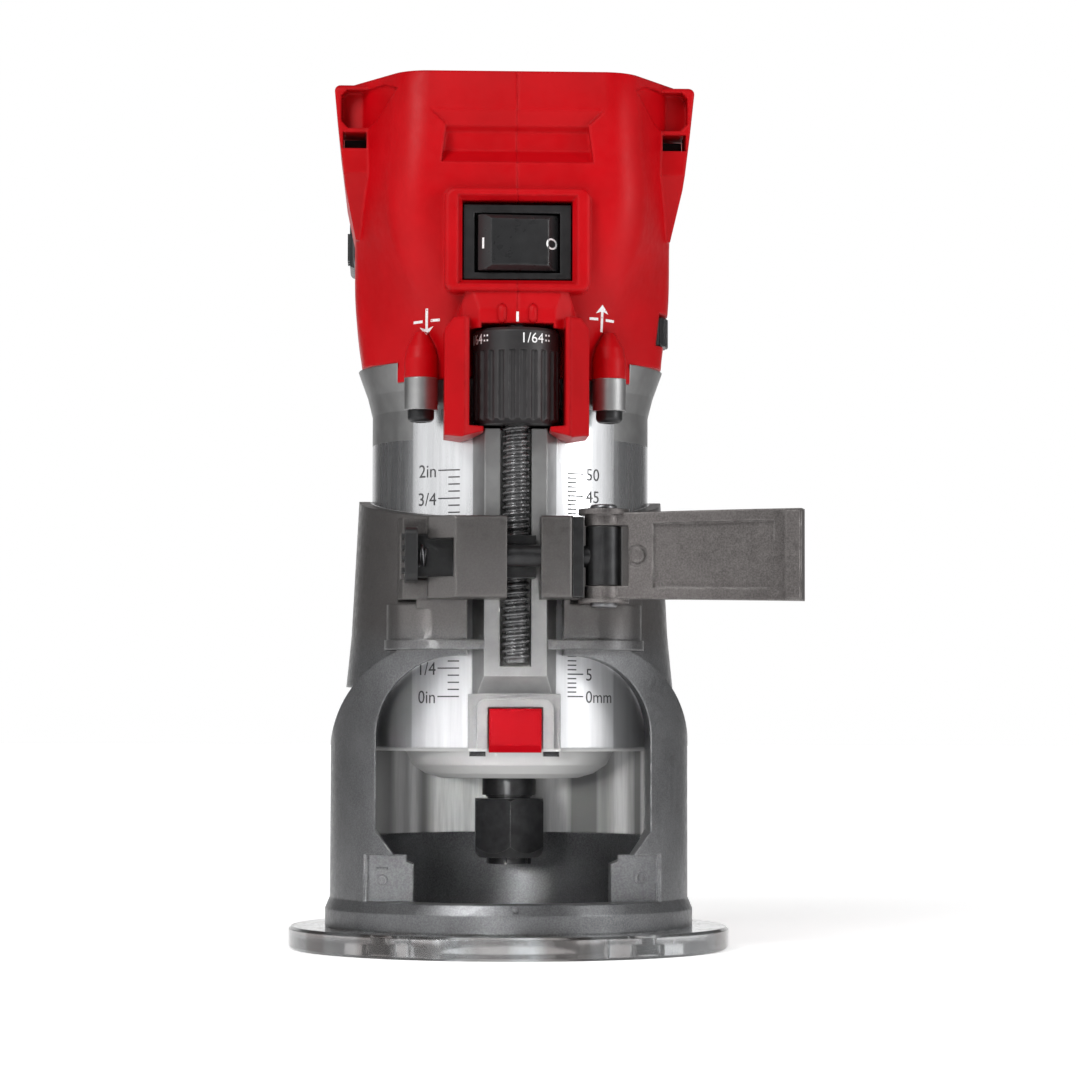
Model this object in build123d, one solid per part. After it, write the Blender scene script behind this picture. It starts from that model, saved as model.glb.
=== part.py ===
from build123d import *
import math
import os

os.makedirs("parts", exist_ok=True)

# Compact trim router with a fixed base, lengths in millimetres.
# Origin: spindle axis at the underside of the sub-base. +Z up, the switch faces -Y.

# --- driving dimensions: base ---
SUB_R, SUB_T = 50.8, 5.2
SUB_HOLE_R = 15.9
FOOT_R, FOOT_TOP = 42.4, 11.7
SKIRT_R = 41.3
LEDGE_Z0, LEDGE_Z1 = 67.9, 70.1
WINDOW_HALF, WINDOW_TOP, WINDOW_FILLET = 30.8, 66.7, 18.0
BORE_R, BORE_BOTTOM = 32.04, 25.7
INNER_R = 33.2
RING_R_LOW, RING_R_TOP, RING_TOP = 36.6, 35.0, 103.0
RIM_SLOPE = 0.17
GROOVE_HALF, GROOVE_Y = 10.7, -41.6
PANEL_Y, PANEL_HALF, PANEL_OPEN = -40.0, 28.5, 8.65
LEDGE_HALF, LEDGE_Y, LEVER_ROOM = 29.0, -42.4, 0.9
EAR_Z0, EAR_Z1, EAR_Y = 78.9, 96.9, -52.6
LEFT_EAR_X0, LEFT_EAR_BEVEL, LEFT_EAR_X1 = -19.4, -13.6, -2.4
RIGHT_EAR_X0, RIGHT_EAR_X1 = 5.1, 12.0
LUG_X0, LUG_X1, LUG_Y, LUG_TOP = 22.2, 36.0, -23.3, 22.3
LUG_RIM_X, LUG_STEP = 32.4, 1.0
SILL_HALF, SILL_TOP = 26.6, 27.5
SCREW_PCD_R = 37.6

# --- driving dimensions: clamp ---
CLAMP_Z = 88.2
BOLT_Y, BOLT_R = -48.6, 2.5
PIVOT_X, PIN_R, PIN_HEAD_R = 18.9, 2.0, 3.0
WASHER_T = 2.3
LEVER_LENGTH, LEVER_T = 44.0, 4.6
LEVER_HALF_ROOT, LEVER_HALF_TIP = 9.4, 10.0
LEVER_REST_DEG = -15.0
KNUCKLE_R, KNUCKLE_H = 4.2, 2.8
FLANGE_R, FLANGE_T = 5.6, 0.9
SLIDER_Y0, SLIDER_Y1 = -45.6, -41.9
SLIDER_Z0, SLIDER_Z1 = 83.6, 92.9
BUTTON_X0, BUTTON_X1 = -24.6, -21.8
BUTTON_Y0, BUTTON_Y1 = -52.0, -41.0
HALF_NUT_X1, RELEASE_TRAVEL = 4.2, 1.8

# --- driving dimensions: motor unit ---
BARREL_R = 32.0
BARREL_BOTTOM, FLARE_Z, BARREL_TOP = 45.4, 122.5, 133.0
FLARE_R, CAVITY_R = 35.3, 26.0
NOSE_Z = 39.2
NOSE = ((16.0, 0.0), (19.5, 1.0), (22.5, 3.0), (24.0, 6.2))
RAIL_HALF, RAIL_FACE_HALF, RAIL_Y = 10.2, 6.95, -38.6
RAIL_Z0, RAIL_BEVEL_Z, RAIL_Z1 = 57.6, 62.1, 117.0
SLOT_HALF, SLOT_Y, SLOT_Z = 3.45, -34.2, 64.2
STEP_HALF, STEP_Y, STEP_Z = 26.3, -20.0, 128.7
BOSS_X, BOSS_Y, BOSS_R = 21.1, -32.0, 3.75
BOSS_Z0 = 121.5
KNOB_Y, KNOB_R, KNOB_POCKET_R = -38.2, 9.6, 10.6
KNOB_Z0, KNOB_Z1, KNOB_BAND = 117.6, 138.7, 133.7
LEAD_R, LEAD_Z0 = 3.1, 65.0
FIN_X0, FIN_X1, FIN_Y, FIN_Z = 10.6, 16.0, -47.6, 114.5
FIN_FOOT_X, FIN_TOP = 7.4, 141.0
LOCK_HALF, LOCK_Z0, LOCK_Z1, LOCK_Y = 5.8, 45.2, 54.9, -40.2
BEZEL_HALF, BEZEL_Z1, BEZEL_Y = 8.5, 57.0, -38.4
PIN_Z = 52.2
RUNNING_FIT = 0.02

# --- driving dimensions: spindle ---
NECK_R, SHAFT_R, COLLAR_R = 6.2, 6.0, 7.6
NUT_FLATS, NUT_Z0, NUT_Z1 = 15.6, 20.8, 34.4
COLLET_TIP_Z, BIT_R = 19.3, 3.175
STATOR_R, ROTOR_R = 25.8, 13.6
STATOR_Z0, STATOR_Z1 = 64.0, 94.0

# --- driving dimensions: head ---
WALL = 2.6
HEAD_SEAT = 8.0
HEAD_TOP, HEAD_BACK = 197.0, 37.0
# height, front face y, front half-width, side half-width, y where the side begins
HEAD_SECTIONS = [
    (128.0, -34.6, 14.0, 34.9, -14.0),
    (142.0, -37.4, 17.0, 35.5, -14.0),
    (154.0, -40.6, 23.5, 36.2, -13.0),
    (166.0, -42.4, 27.0, 36.4, -13.0),
    (177.0, -42.4, 26.5, 37.6, -13.0),
    (187.0, -41.2, 25.5, 38.8, -14.0),
    (197.0, -38.6, 24.5, 39.2, -15.0),
]
EAR_HALF, EAR_TOP, EAR_BOTTOM = 41.0, 196.2, 160.0
SWITCH_HALF, SWITCH_Z0, SWITCH_Z1, SWITCH_Y = 16.1, 146.9, 169.8, -45.4
OPEN_HALF, OPEN_Z0, OPEN_Z1 = 12.2, 149.4, 167.2
ROCKER_HALF, ROCKER_Z0, ROCKER_Z1 = 9.0, 151.7, 164.0
ROCKER_PIVOT_Y = -39.8
ROCKER_TILT = 6.0
SHELF_HALF, SHELF_Y = 13.5, -45.2
RECESS_Z0, RECESS_Z1 = 175.9, 189.2
NOTCH_Z0, NOTCH_Z1 = 181.6, 185.3
PILLAR_R, SCREW_R, HEAD_BORE_R = 4.4, 1.6, 3.2
DIAL_X, DIAL_Y, DIAL_R, DIAL_Z0, DIAL_Z1 = 24.6, -6.0, 11.7, 138.6, 145.0

# --- driving dimensions: battery ---
PACK_HALF, PACK_Y0, PACK_Y1 = 37.2, 38.2, 112.0
PACK_TOP, PACK_SPLIT, PACK_BODY_Z = 199.0, 181.0, 161.5
PACK_FOOT_HALF, PACK_FOOT_Z = 31.0, 148.4
FOOT_WEB, FOOT_FLANGE = 22.0, 26.0
RAIL_FOOT_Z0, RAIL_FOOT_Z1, FOOT_END = 151.0, 154.0, 102.0
CELL_R, CELL_LEN, CELL_PITCH = 9.1, 65.0, 18.9
BLADES = (-9.0, -3.0, 3.0, 9.0)
FIT = 0.4


# --- helpers ---
def box(x0, x1, y0, y1, z0, z1):
    size = (x1 - x0, y1 - y0, z1 - z0)
    centre = ((x0 + x1) / 2, (y0 + y1) / 2, (z0 + z1) / 2)
    return Pos(*centre) * Box(*size)


def cyl(r, z0, z1, x=0.0, y=0.0):
    return Pos(x, y, (z0 + z1) / 2) * Cylinder(r, z1 - z0)


def rod_x(r, x0, x1, y, z):
    return Pos((x0 + x1) / 2, y, z) * Rot(0, 90, 0) * Cylinder(r, x1 - x0)


def rod_y(r, y0, y1, x, z):
    return Pos(x, (y0 + y1) / 2, z) * Rot(90, 0, 0) * Cylinder(r, y1 - y0)


def prism_z(points, z0, z1):
    return extrude(Pos(0, 0, z0) * make_face(Polyline(*points, close=True)), z1 - z0, dir=(0, 0, 1))


def prism_y(points, y0, y1):
    """Outline of (x, z) points, swept along Y."""
    face = make_face(Polyline(*[(x, y0, z) for x, z in points], close=True))
    return extrude(face, y1 - y0, dir=(0, 1, 0))


def prism_x(points, x0, x1):
    """Outline of (y, z) points, swept along X."""
    face = make_face(Polyline(*[(x0, y, z) for y, z in points], close=True))
    return extrude(face, x1 - x0, dir=(1, 0, 0))


def turned(points):
    """Solid of revolution about Z from (radius, z) points."""
    face = make_face(Polyline(*[(r, 0, z) for r, z in points], close=True))
    return revolve(face, Axis.Z, 360)


def round_z(solid, radius, picked=lambda edge: True):
    """Round the vertical edges that the test picks."""
    edges = [e for e in solid.edges().filter_by(Axis.Z) if picked(e.center())]
    return fillet(edges, radius)


def mirrored(solid):
    return mirror(solid, Plane.YZ)


def save(node, *solids):
    shapes = [piece for solid in solids for piece in solid.solids()]
    whole = shapes[0] if len(shapes) == 1 else Compound(children=shapes)
    export_step(whole, "parts/" + node + ".step")


# --- base ---
def arch(half, top, radius, z0, y0, y1):
    """Upright arch with two rounded top corners, swept along Y."""
    block = box(-half, half, y0, y1, z0, top)
    corners = [e for e in block.edges().filter_by(Axis.Y) if e.center().Z > top - 1]
    return fillet(corners, radius)


def skirt():
    """Round legs and hood of the base, arched in front view."""
    body = cyl(SKIRT_R, FOOT_TOP - 1.0, LEDGE_Z1)
    outline = arch(SKIRT_R + 0.2, LEDGE_Z1, 26.0, 5.0, -60, 60)
    return body & outline


def clamp_ring():
    profile = [(0, 60), (RING_R_LOW + 1.2, 60), (RING_R_LOW, 72), (RING_R_TOP, RING_TOP), (0, RING_TOP)]
    ring = turned(profile)
    drop = prism_x([(0, RING_TOP), (-60, RING_TOP - 60 * RIM_SLOPE), (-60, 120), (0, 120)], -60, 60)
    return ring - drop


def ear_block():
    """Both clamp ears as one block, before the gap is cut."""
    left = prism_z(
        [
            (-26.0, -20.0),
            (-26.0, -39.0),
            (LEFT_EAR_X0, -48.6),
            (LEFT_EAR_BEVEL, EAR_Y),
            (RIGHT_EAR_X1, EAR_Y),
            (RIGHT_EAR_X1, -41.0),
            (22.0, -31.0),
            (22.0, -20.0),
        ],
        EAR_Z0,
        EAR_Z1,
    )
    edges = [e for e in left.edges() if abs(e.center().Y - EAR_Y) < 0.1]
    return fillet(edges, 0.8)


def front_panel():
    """Flat recessed panel under the ears, and the thin ledge over the hood."""
    panel = box(-PANEL_HALF, PANEL_HALF, PANEL_Y, -20, LEDGE_Z0, EAR_Z0 - LEVER_ROOM)
    ledge = box(-LEDGE_HALF, LEDGE_HALF, LEDGE_Y, -20, LEDGE_Z0, LEDGE_Z1)
    neck = box(-22, RIGHT_EAR_X1, PANEL_Y, -20, EAR_Z0 - 2, EAR_Z0 + 1)
    rounded = round_z(panel, 10.0, lambda c: c.Y < -30) + round_z(ledge, 12.0, lambda c: c.Y < -30)
    return rounded + neck


def lug(side):
    """Corner boss inside the foot of one leg."""
    outline = [(LUG_X0, 11), (LUG_X1, 11), (LUG_X1, LUG_TOP), (27.5, LUG_TOP), (LUG_X0, 20.0)]
    pad = prism_y([(side * x, z) for x, z in outline], LUG_Y, LUG_Y + 9.0)
    return pad & cyl(SKIRT_R, 5, 30)


def window():
    """Arched front opening, drawn in over its sill and cut flat in front of the lugs."""
    opening = arch(WINDOW_HALF, WINDOW_TOP, WINDOW_FILLET, SILL_TOP, -60, 0)
    sill = [(SILL_HALF, LUG_TOP - 0.1), (WINDOW_HALF, SILL_TOP + 0.1)]
    sill += [(-x, z) for x, z in reversed(sill)]
    opening += prism_y(sill, -60, 0)
    opening += box(-60, 60, -60, LUG_Y - LUG_STEP, FOOT_TOP, LUG_TOP)
    opening += box(-LUG_RIM_X, LUG_RIM_X, -60, LUG_Y, FOOT_TOP, LUG_TOP)
    return opening + box(-LUG_X0, LUG_X0, -60, 0, FOOT_TOP, SILL_TOP + 1)


def foot_ring():
    edge = 2.4
    return turned(
        [(0, SUB_T), (FOOT_R, SUB_T), (FOOT_R, FOOT_TOP - edge), (SKIRT_R + 0.1, FOOT_TOP), (0, FOOT_TOP)]
    )


def slider_ways():
    """Guide slot through the left ear, and room in the right ear for the half nut's travel."""
    z0, z1 = SLIDER_Z0 - 0.3, SLIDER_Z1 + 0.3
    reach = HALF_NUT_X1 + RELEASE_TRAVEL + 0.4
    ways = box(-40, LEFT_EAR_X1 + 1, SLIDER_Y0 - 0.3, GROOVE_Y + 2, z0, z1)
    ways += box(LEFT_EAR_X0 - 0.2, LEFT_EAR_BEVEL - 0.4, -60, SLIDER_Y0 + 1, SLIDER_Z0, SLIDER_Z1 - 0.9)
    return ways + box(RIGHT_EAR_X0 - 1, reach, SLIDER_Y0 - 0.5, GROOVE_Y + 2, z0, z1)


def base_casting():
    body = foot_ring() + skirt() + clamp_ring() + front_panel() + ear_block()
    body -= cyl(INNER_R, SUB_T - 1, BORE_BOTTOM)
    body -= cyl(BORE_R, BORE_BOTTOM - 1, 120)
    body += lug(-1) + lug(1)
    body -= window()
    body -= box(-GROOVE_HALF, GROOVE_HALF, GROOVE_Y, 0, 60, 120)
    body -= box(-PANEL_OPEN, PANEL_OPEN, -60, 0, LEDGE_Z1, EAR_Z0)
    body -= box(-7.0, 7.0, -60, 0, 60, LEDGE_Z1 + 0.1)
    body -= box(LEFT_EAR_X1, RIGHT_EAR_X0, -60, 0, 60, 120)
    body -= slider_ways()
    body -= box(-40, LEFT_EAR_X0 - 0.2, -60, BUTTON_Y1 + 0.5, EAR_Z0 - 0.1, EAR_Z1 + 0.1)
    body -= rod_x(BOLT_R + 0.2, LEFT_EAR_BEVEL, 30, BOLT_Y, CLAMP_Z)
    for x, y in foot_screw_places():
        body -= cyl(1.6, SUB_T - 1, FOOT_TOP - 1.5, x, y)
    return max(body.solids(), key=lambda piece: piece.volume)


def foot_screw_places():
    angles = [math.radians(45 + 90 * k) for k in range(4)]
    return [(SCREW_PCD_R * math.cos(a), SCREW_PCD_R * math.sin(a)) for a in angles]


def sub_base():
    plate = cyl(SUB_R, 0, SUB_T)
    plate = chamfer(plate.edges().filter_by(GeomType.CIRCLE), 0.6)
    plate -= cyl(SUB_HOLE_R, -1, 10)
    for x, y in foot_screw_places():
        plate -= cyl(2.0, -1, 10, x, y) + cyl(3.9, -1, 2.6, x, y)
    return plate


def foot_screw(x, y):
    head = cyl(3.5, 0.5, 2.6, x, y) - cyl(1.2, 0, 1.6, x, y)
    return head + cyl(1.6, 2.6, FOOT_TOP - 1.6, x, y)


def clamp_bolt():
    """Bolt along X whose eye wraps the lever's pin."""
    half = LEVER_HALF_ROOT - KNUCKLE_H - 0.2
    eye = cyl(4.0, CLAMP_Z - half, CLAMP_Z + half, PIVOT_X, BOLT_Y)
    shank = rod_x(BOLT_R, LEFT_EAR_BEVEL + 0.3, PIVOT_X - 1, BOLT_Y, CLAMP_Z)
    return eye + shank - cyl(PIN_R + 0.05, 60, 120, PIVOT_X, BOLT_Y)


def thrust_washer():
    """Hardened plate between the right ear and the cam."""
    x0 = RIGHT_EAR_X1
    plate = box(x0, x0 + WASHER_T, BOLT_Y - 3.8, BOLT_Y + 4.4, EAR_Z0 + 0.3, EAR_Z1 - 0.3)
    return plate - rod_x(BOLT_R + 0.15, x0 - 1, x0 + 5, BOLT_Y, CLAMP_Z)


def at_lever(shape):
    """Carry a shape from the lever's own frame to its open place."""
    return Pos(PIVOT_X, BOLT_Y, CLAMP_Z) * Rot(0, 0, LEVER_REST_DEG) * shape


def lever_plan():
    """Plan of the arm: a shallow bow that will hug the ring when closed."""
    length, t = LEVER_LENGTH, LEVER_T
    outer = ThreePointArc((3.0, -t / 2), (length / 2, -t / 2 - 1.4), (length, -t / 2))
    tip = Line((length, -t / 2), (length, t / 2))
    inner = ThreePointArc((length, t / 2), (length / 2, t / 2 - 1.4), (3.0, t / 2))
    root = Line((3.0, t / 2), (3.0, -t / 2))
    return make_face([outer, tip, inner, root])


def clamp_lever():
    half, tip = LEVER_HALF_ROOT, LEVER_HALF_TIP
    arm = extrude(Pos(0, 0, -12) * lever_plan(), 24)
    end = LEVER_LENGTH + 1
    outline = [(-6, -half), (6, -half), (end, -tip), (end, tip), (6, half), (-6, half)]
    front = prism_y(outline, -20, 20)
    arm = arm & front
    gap = half - KNUCKLE_H
    slot = box(-6, 6.0, -8, 8, -gap, gap)
    knuckle = cyl(KNUCKLE_R, -half, half) - box(-6, 4.5, -6, 6, -gap, gap)
    knuckle += cyl(FLANGE_R, half - 0.4, half + FLANGE_T) + cyl(FLANGE_R, -half - FLANGE_T, -half + 0.05)
    panel = prism_y([(11.5, -7.0), (38.0, -7.4), (38.0, 7.4), (11.5, 7.0)], -20, -LEVER_T / 2 - 0.1)
    lip = box(LEVER_LENGTH - 3.4, LEVER_LENGTH - 0.2, -LEVER_T / 2 - 1.0, 0, -9.6, 9.6)
    body = arm + knuckle + lip - slot - panel - rod_y(2.4, -9, -LEVER_T / 2 - 0.2, 7.9, 0)
    body += rod_y(1.7, -LEVER_T / 2 - 0.6, 0, 7.9, 0)
    body -= cyl(PIN_R, -20, 20)
    return at_lever(body)


def lever_pin():
    """Pivot pin with a round head at each end."""
    seat = LEVER_HALF_ROOT + FLANGE_T
    tip = seat + 1.0
    pin = cyl(PIN_R, -tip, tip) + cyl(PIN_HEAD_R, seat, tip) + cyl(PIN_HEAD_R, -tip, -seat)
    rims = [e for e in pin.edges().filter_by(GeomType.CIRCLE) if abs(e.center().Z) > tip - 0.1]
    return at_lever(fillet(rims, 0.6))


def macro_button():
    """Release button at the outer end of the half-nut's stem."""
    pad = box(BUTTON_X0, BUTTON_X1, BUTTON_Y0, BUTTON_Y1, 82.4, 94.4)
    pad = fillet(pad.edges().filter_by(Axis.X), 2.0)
    for z in (84.4, 86.9, 89.4, 91.9):
        pad += box(BUTTON_X0 - 0.7, BUTTON_X0 + 0.1, BUTTON_Y0 + 1.5, BUTTON_Y1 - 1.5, z, z + 1.0)
    return pad


def half_nut():
    """Sliding stem across the ears, with a threaded cheek beside the lead screw."""
    stem = box(BUTTON_X1, HALF_NUT_X1, SLIDER_Y0, SLIDER_Y1, SLIDER_Z0, SLIDER_Z1)
    cheek = box(0.6, HALF_NUT_X1, SLIDER_Y1 - 0.1, -39.0, SLIDER_Z0, SLIDER_Z1)
    return stem + cheek - cyl(LEAD_R + 0.06, 60, 120, 0, KNOB_Y)


def macro_spring():
    """Envelope of the coil spring behind the release button."""
    outer = rod_x(2.6, BUTTON_X1 + 0.1, LEFT_EAR_X0 - 0.3, BOLT_Y, CLAMP_Z)
    return outer - rod_x(1.9, BUTTON_X1, LEFT_EAR_X0, BOLT_Y, CLAMP_Z)


# --- motor unit ---
def rail():
    """Raised front rail with the lead-screw slot."""
    plan = [(-RAIL_HALF, -28), (-RAIL_FACE_HALF, RAIL_Y), (RAIL_FACE_HALF, RAIL_Y), (RAIL_HALF, -28)]
    side = [(-28, RAIL_Z0), (-33.4, RAIL_Z0), (RAIL_Y, RAIL_BEVEL_Z), (RAIL_Y, RAIL_Z1), (-28, RAIL_Z1)]
    return prism_z(plan, RAIL_Z0, RAIL_Z1) & prism_x(side, -12, 12)


def lock_boss():
    """Pad and bezel around the spindle-lock button."""
    pad = box(-10.3, 10.3, -34.4, -26, BARREL_BOTTOM, RAIL_Z0 + 0.6)
    bezel = box(-BEZEL_HALF, BEZEL_HALF, BEZEL_Y, -28, BARREL_BOTTOM + 0.6, BEZEL_Z1)
    corners = [e for e in bezel.edges().filter_by(Axis.Y) if e.center().Z > BEZEL_Z1 - 1]
    return pad + fillet(corners, 2.2)


def screw_boss(side):
    x = side * BOSS_X
    return cyl(BOSS_R, BOSS_Z0, STEP_Z, x, BOSS_Y) + box(x - 3.2, x + 3.2, -32, -22, BOSS_Z0 + 1.5, STEP_Z)


def barrel_outer():
    r = BARREL_R
    nose = [(0, NOSE_Z)] + [(radius, NOSE_Z + rise) for radius, rise in NOSE]
    wall = [(r - 0.9, BARREL_BOTTOM), (r, BARREL_BOTTOM + 0.9), (r, FLARE_Z), (r + 1.1, FLARE_Z + 4.4)]
    return turned(nose + wall + [(FLARE_R, BARREL_TOP), (0, BARREL_TOP)])


def motor_barrel():
    body = barrel_outer() + rail() + lock_boss() + screw_boss(-1) + screw_boss(1)
    body -= box(-STEP_HALF, STEP_HALF, -60, STEP_Y, STEP_Z, 140)
    body -= cyl(CAVITY_R, 56.0, 140)
    body -= cyl(14.05, 42.0, 60) + cyl(NECK_R + 0.8, 30, 50)
    body -= box(-SLOT_HALF, SLOT_HALF, -60, SLOT_Y, SLOT_Z, 130)
    body -= cyl(KNOB_POCKET_R, RAIL_Z1, 140, 0, KNOB_Y)
    body -= box(-LOCK_HALF - 0.3, LOCK_HALF + 0.3, -60, -32.5, 40, LOCK_Z1 + 0.3)
    body -= rod_y(1.9, -40, -10, 0, PIN_Z) + rod_y(3.2, -32.6, -27, 0, PIN_Z)
    for side in (-1, 1):
        body -= cyl(1.7, 110, 140, side * BOSS_X, BOSS_Y)
        body -= box(side * 8.2 - 1.9, side * 8.2 + 1.9, -33.6, -29.5, 40, BARREL_BOTTOM + 1.2)
    return max(body.solids(), key=lambda piece: piece.volume)


def barrel_screw(side):
    x = side * BOSS_X
    head_z = BOSS_Z0 - 2.7
    head = cyl(3.0, head_z, BOSS_Z0, x, BOSS_Y)
    head = fillet([e for e in head.edges().filter_by(GeomType.CIRCLE) if e.center().Z < head_z + 0.1], 1.2)
    head -= cyl(1.3, head_z - 1, BOSS_Z0 - 1.4, x, BOSS_Y)
    return head + cyl(1.65, BOSS_Z0, STEP_Z + 6.0, x, BOSS_Y)


def led_lens(side):
    return box(side * 8.2 - 1.8, side * 8.2 + 1.8, -33.5, -29.6, 44.3, BARREL_BOTTOM + 1.1)


def head_face(z, front, half_front, half_side, y_side, inset=0.0):
    """Plan section of the head, with rounded corners."""
    pts = [
        (-half_front + inset * 0.6, front + inset),
        (half_front - inset * 0.6, front + inset),
        (half_side - inset, y_side),
        (half_side - inset, HEAD_BACK - inset),
        (-half_side + inset, HEAD_BACK - inset),
        (-half_side + inset, y_side),
    ]
    face = make_face(Polyline(*pts, close=True))
    face = fillet([v for v in face.vertices() if v.Y < front + inset + 1], 9.0)
    side_corners = [v for v in face.vertices() if abs(v.Y - y_side) < 0.01]
    face = fillet(side_corners, 12.0)
    back_corners = [v for v in face.vertices() if v.Y > HEAD_BACK - inset - 0.01]
    return Pos(0, 0, z) * fillet(back_corners, 6.0)


def head_loft(inset=0.0):
    return loft([head_face(*section, inset=inset) for section in HEAD_SECTIONS])


def side_ear(side):
    """Upper corner bulge, and the scoop and two air slots cut in it."""
    x0, x1 = 26.0, EAR_HALF
    outline = [(x0, EAR_BOTTOM), (36.0, EAR_BOTTOM + 2), (38.3, 173.0), (39.8, 185.0)]
    outline += [(x1, EAR_TOP), (x0, EAR_TOP)]
    block = prism_y([(side * x, z) for x, z in outline], -25.0, 16.0)
    top = [e for e in block.edges() if e.center().Z > EAR_TOP - 0.1 and abs(e.center().X) > 30]
    block = fillet(top, 1.6)
    block &= prism_x([(-25, 200), (-25, 176), (-13, 156), (20, 156), (20, 200)], -60, 60)
    cut = scoop() + box(35.6, 45, -14, 12, 188.6, 191.2)
    cut += box(33.6, 38.9, -40, 12, NOTCH_Z0, NOTCH_Z1) + box(35.6, 45, -14, 12, NOTCH_Z0, NOTCH_Z1)
    return block, cut if side > 0 else mirrored(cut)


def scoop():
    """Teardrop hollow in the right upper corner, its floor following the corner round."""
    outline = [(33.0, 186.2), (37.8, 186.2), (39.3, 187.8), (39.3, 193.6), (38.0, 195.0)]
    outline += [(29.4, 195.0), (26.6, 193.4), (31.2, 187.2)]
    floor = [(25.0, -60), (25.0, -36.5), (28.0, -33.0), (34.5, -21.5), (42.0, -20.0), (42.0, -60)]
    return prism_y(outline, -60, -10) & prism_z(floor, 180, 200)


def fin(side):
    """Fork tine beside the knob, its foot turned in toward the rail."""
    plan = [(FIN_X1, -26), (FIN_X1, -42.5), (FIN_X0 + 1.0, FIN_Y), (FIN_FOOT_X, FIN_Y + 3.4)]
    plan += [(FIN_FOOT_X, RAIL_Y + 0.3), (FIN_X0, -28.0), (FIN_X0, -26)]
    front = [(FIN_X1, FIN_TOP - 2.2), (FIN_X1 - 2.0, FIN_TOP), (FIN_X0, FIN_TOP), (FIN_X0, RAIL_Z1)]
    front += [(FIN_FOOT_X, RAIL_Z1), (FIN_FOOT_X, RAIL_Z1 - 1.0)]
    front += [(FIN_X0 + 1.6, FIN_Z), (FIN_X1, FIN_Z + 0.7)]
    tine = prism_z([(side * x, y) for x, y in plan], FIN_Z, FIN_TOP)
    tine &= prism_y([(side * x, z) for x, z in front], -60, 0)
    return tine - cyl(BARREL_R + 0.4, 60, FLARE_Z + 2) - barrel_outer()


def battery_foot():
    """Rear arm with the T rail that the pack slides on."""
    arm = box(-FOOT_WEB, FOOT_WEB, 30, FOOT_END, 138.6, RAIL_FOOT_Z1 - 1)
    arm = fillet([e for e in arm.edges().filter_by(Axis.Y) if e.center().Z < 140], 4.0)
    flange = box(-FOOT_FLANGE, FOOT_FLANGE, 34, FOOT_END, RAIL_FOOT_Z0, RAIL_FOOT_Z1)
    return arm + flange


def switch_bezel():
    """Raised frame round the switch, with rounded corners."""
    bezel = box(-SWITCH_HALF, SWITCH_HALF, SWITCH_Y, -30, SWITCH_Z0, SWITCH_Z1)
    bezel = fillet(bezel.edges().filter_by(Axis.Y), 2.2)
    return fillet([e for e in bezel.edges() if abs(e.center().Y - SWITCH_Y) < 0.05], 0.8)


def switch_opening():
    """Hole for the switch, with a sloped lip."""
    lip, depth = 1.3, 1.7
    y0, y1 = SWITCH_Y - 0.4, SWITCH_Y + depth
    tall = [(y0, OPEN_Z0 - lip), (y1, OPEN_Z0), (y1, OPEN_Z1), (y0, OPEN_Z1 + lip)]
    wide = [(-OPEN_HALF - lip, y0), (OPEN_HALF + lip, y0), (OPEN_HALF, y1), (-OPEN_HALF, y1)]
    slope = prism_x(tall, -30, 30) & prism_z(wide, 140, 180)
    return slope + box(-OPEN_HALF, OPEN_HALF, -44.5, -30, OPEN_Z0, OPEN_Z1)


def head_cavity():
    """Inside of the head and of its rear arm, less the thick places of the front wall."""
    inner = head_loft(WALL) & box(-60, 60, -60, 60, 128, HEAD_TOP - WALL)
    inner -= cyl(KNOB_POCKET_R + 1.8, 120, 142.4, 0, KNOB_Y)
    inner -= box(-SHELF_HALF, SHELF_HALF, SHELF_Y, -30.5, KNOB_Z1, SWITCH_Z0)
    inner -= box(-OPEN_HALF - 2, OPEN_HALF + 2, -50, -36.4, 146.0, 170.5)
    inner -= box(-24.0, 24.0, -50, -36.2, RECESS_Z0 - 2.4, RECESS_Z1 + 2.3)
    for side in (-1, 1):
        inner -= box(side * 30.5 - 8.5, side * 30.5 + 8.5, -45, -12, NOTCH_Z0 - 2.2, 200)
    arm = box(-FOOT_WEB + WALL, FOOT_WEB - WALL, 28, FOOT_END - WALL, 141.4, RAIL_FOOT_Z1 - 4)
    return inner + arm


def screw_cover(side):
    """Tapered housing over one barrel screw."""
    low, high = STEP_Z + 4.4, STEP_Z + 10.4
    profile = [(0, STEP_Z), (BOSS_R, STEP_Z), (BOSS_R, low), (BOSS_R - 0.6, low + 2.6), (1.3, high), (0, high)]
    return Pos(side * BOSS_X, BOSS_Y, 0) * turned(profile)


def below_seam():
    """Space under the head that the barrel fills, in front of its step and beside the tines."""
    low = box(-60, 60, -60, 60, 100, BARREL_TOP)
    step = box(-STEP_HALF, STEP_HALF, -60, STEP_Y, STEP_Z, BARREL_TOP + 7)
    return low - step - fins_zone()


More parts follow.
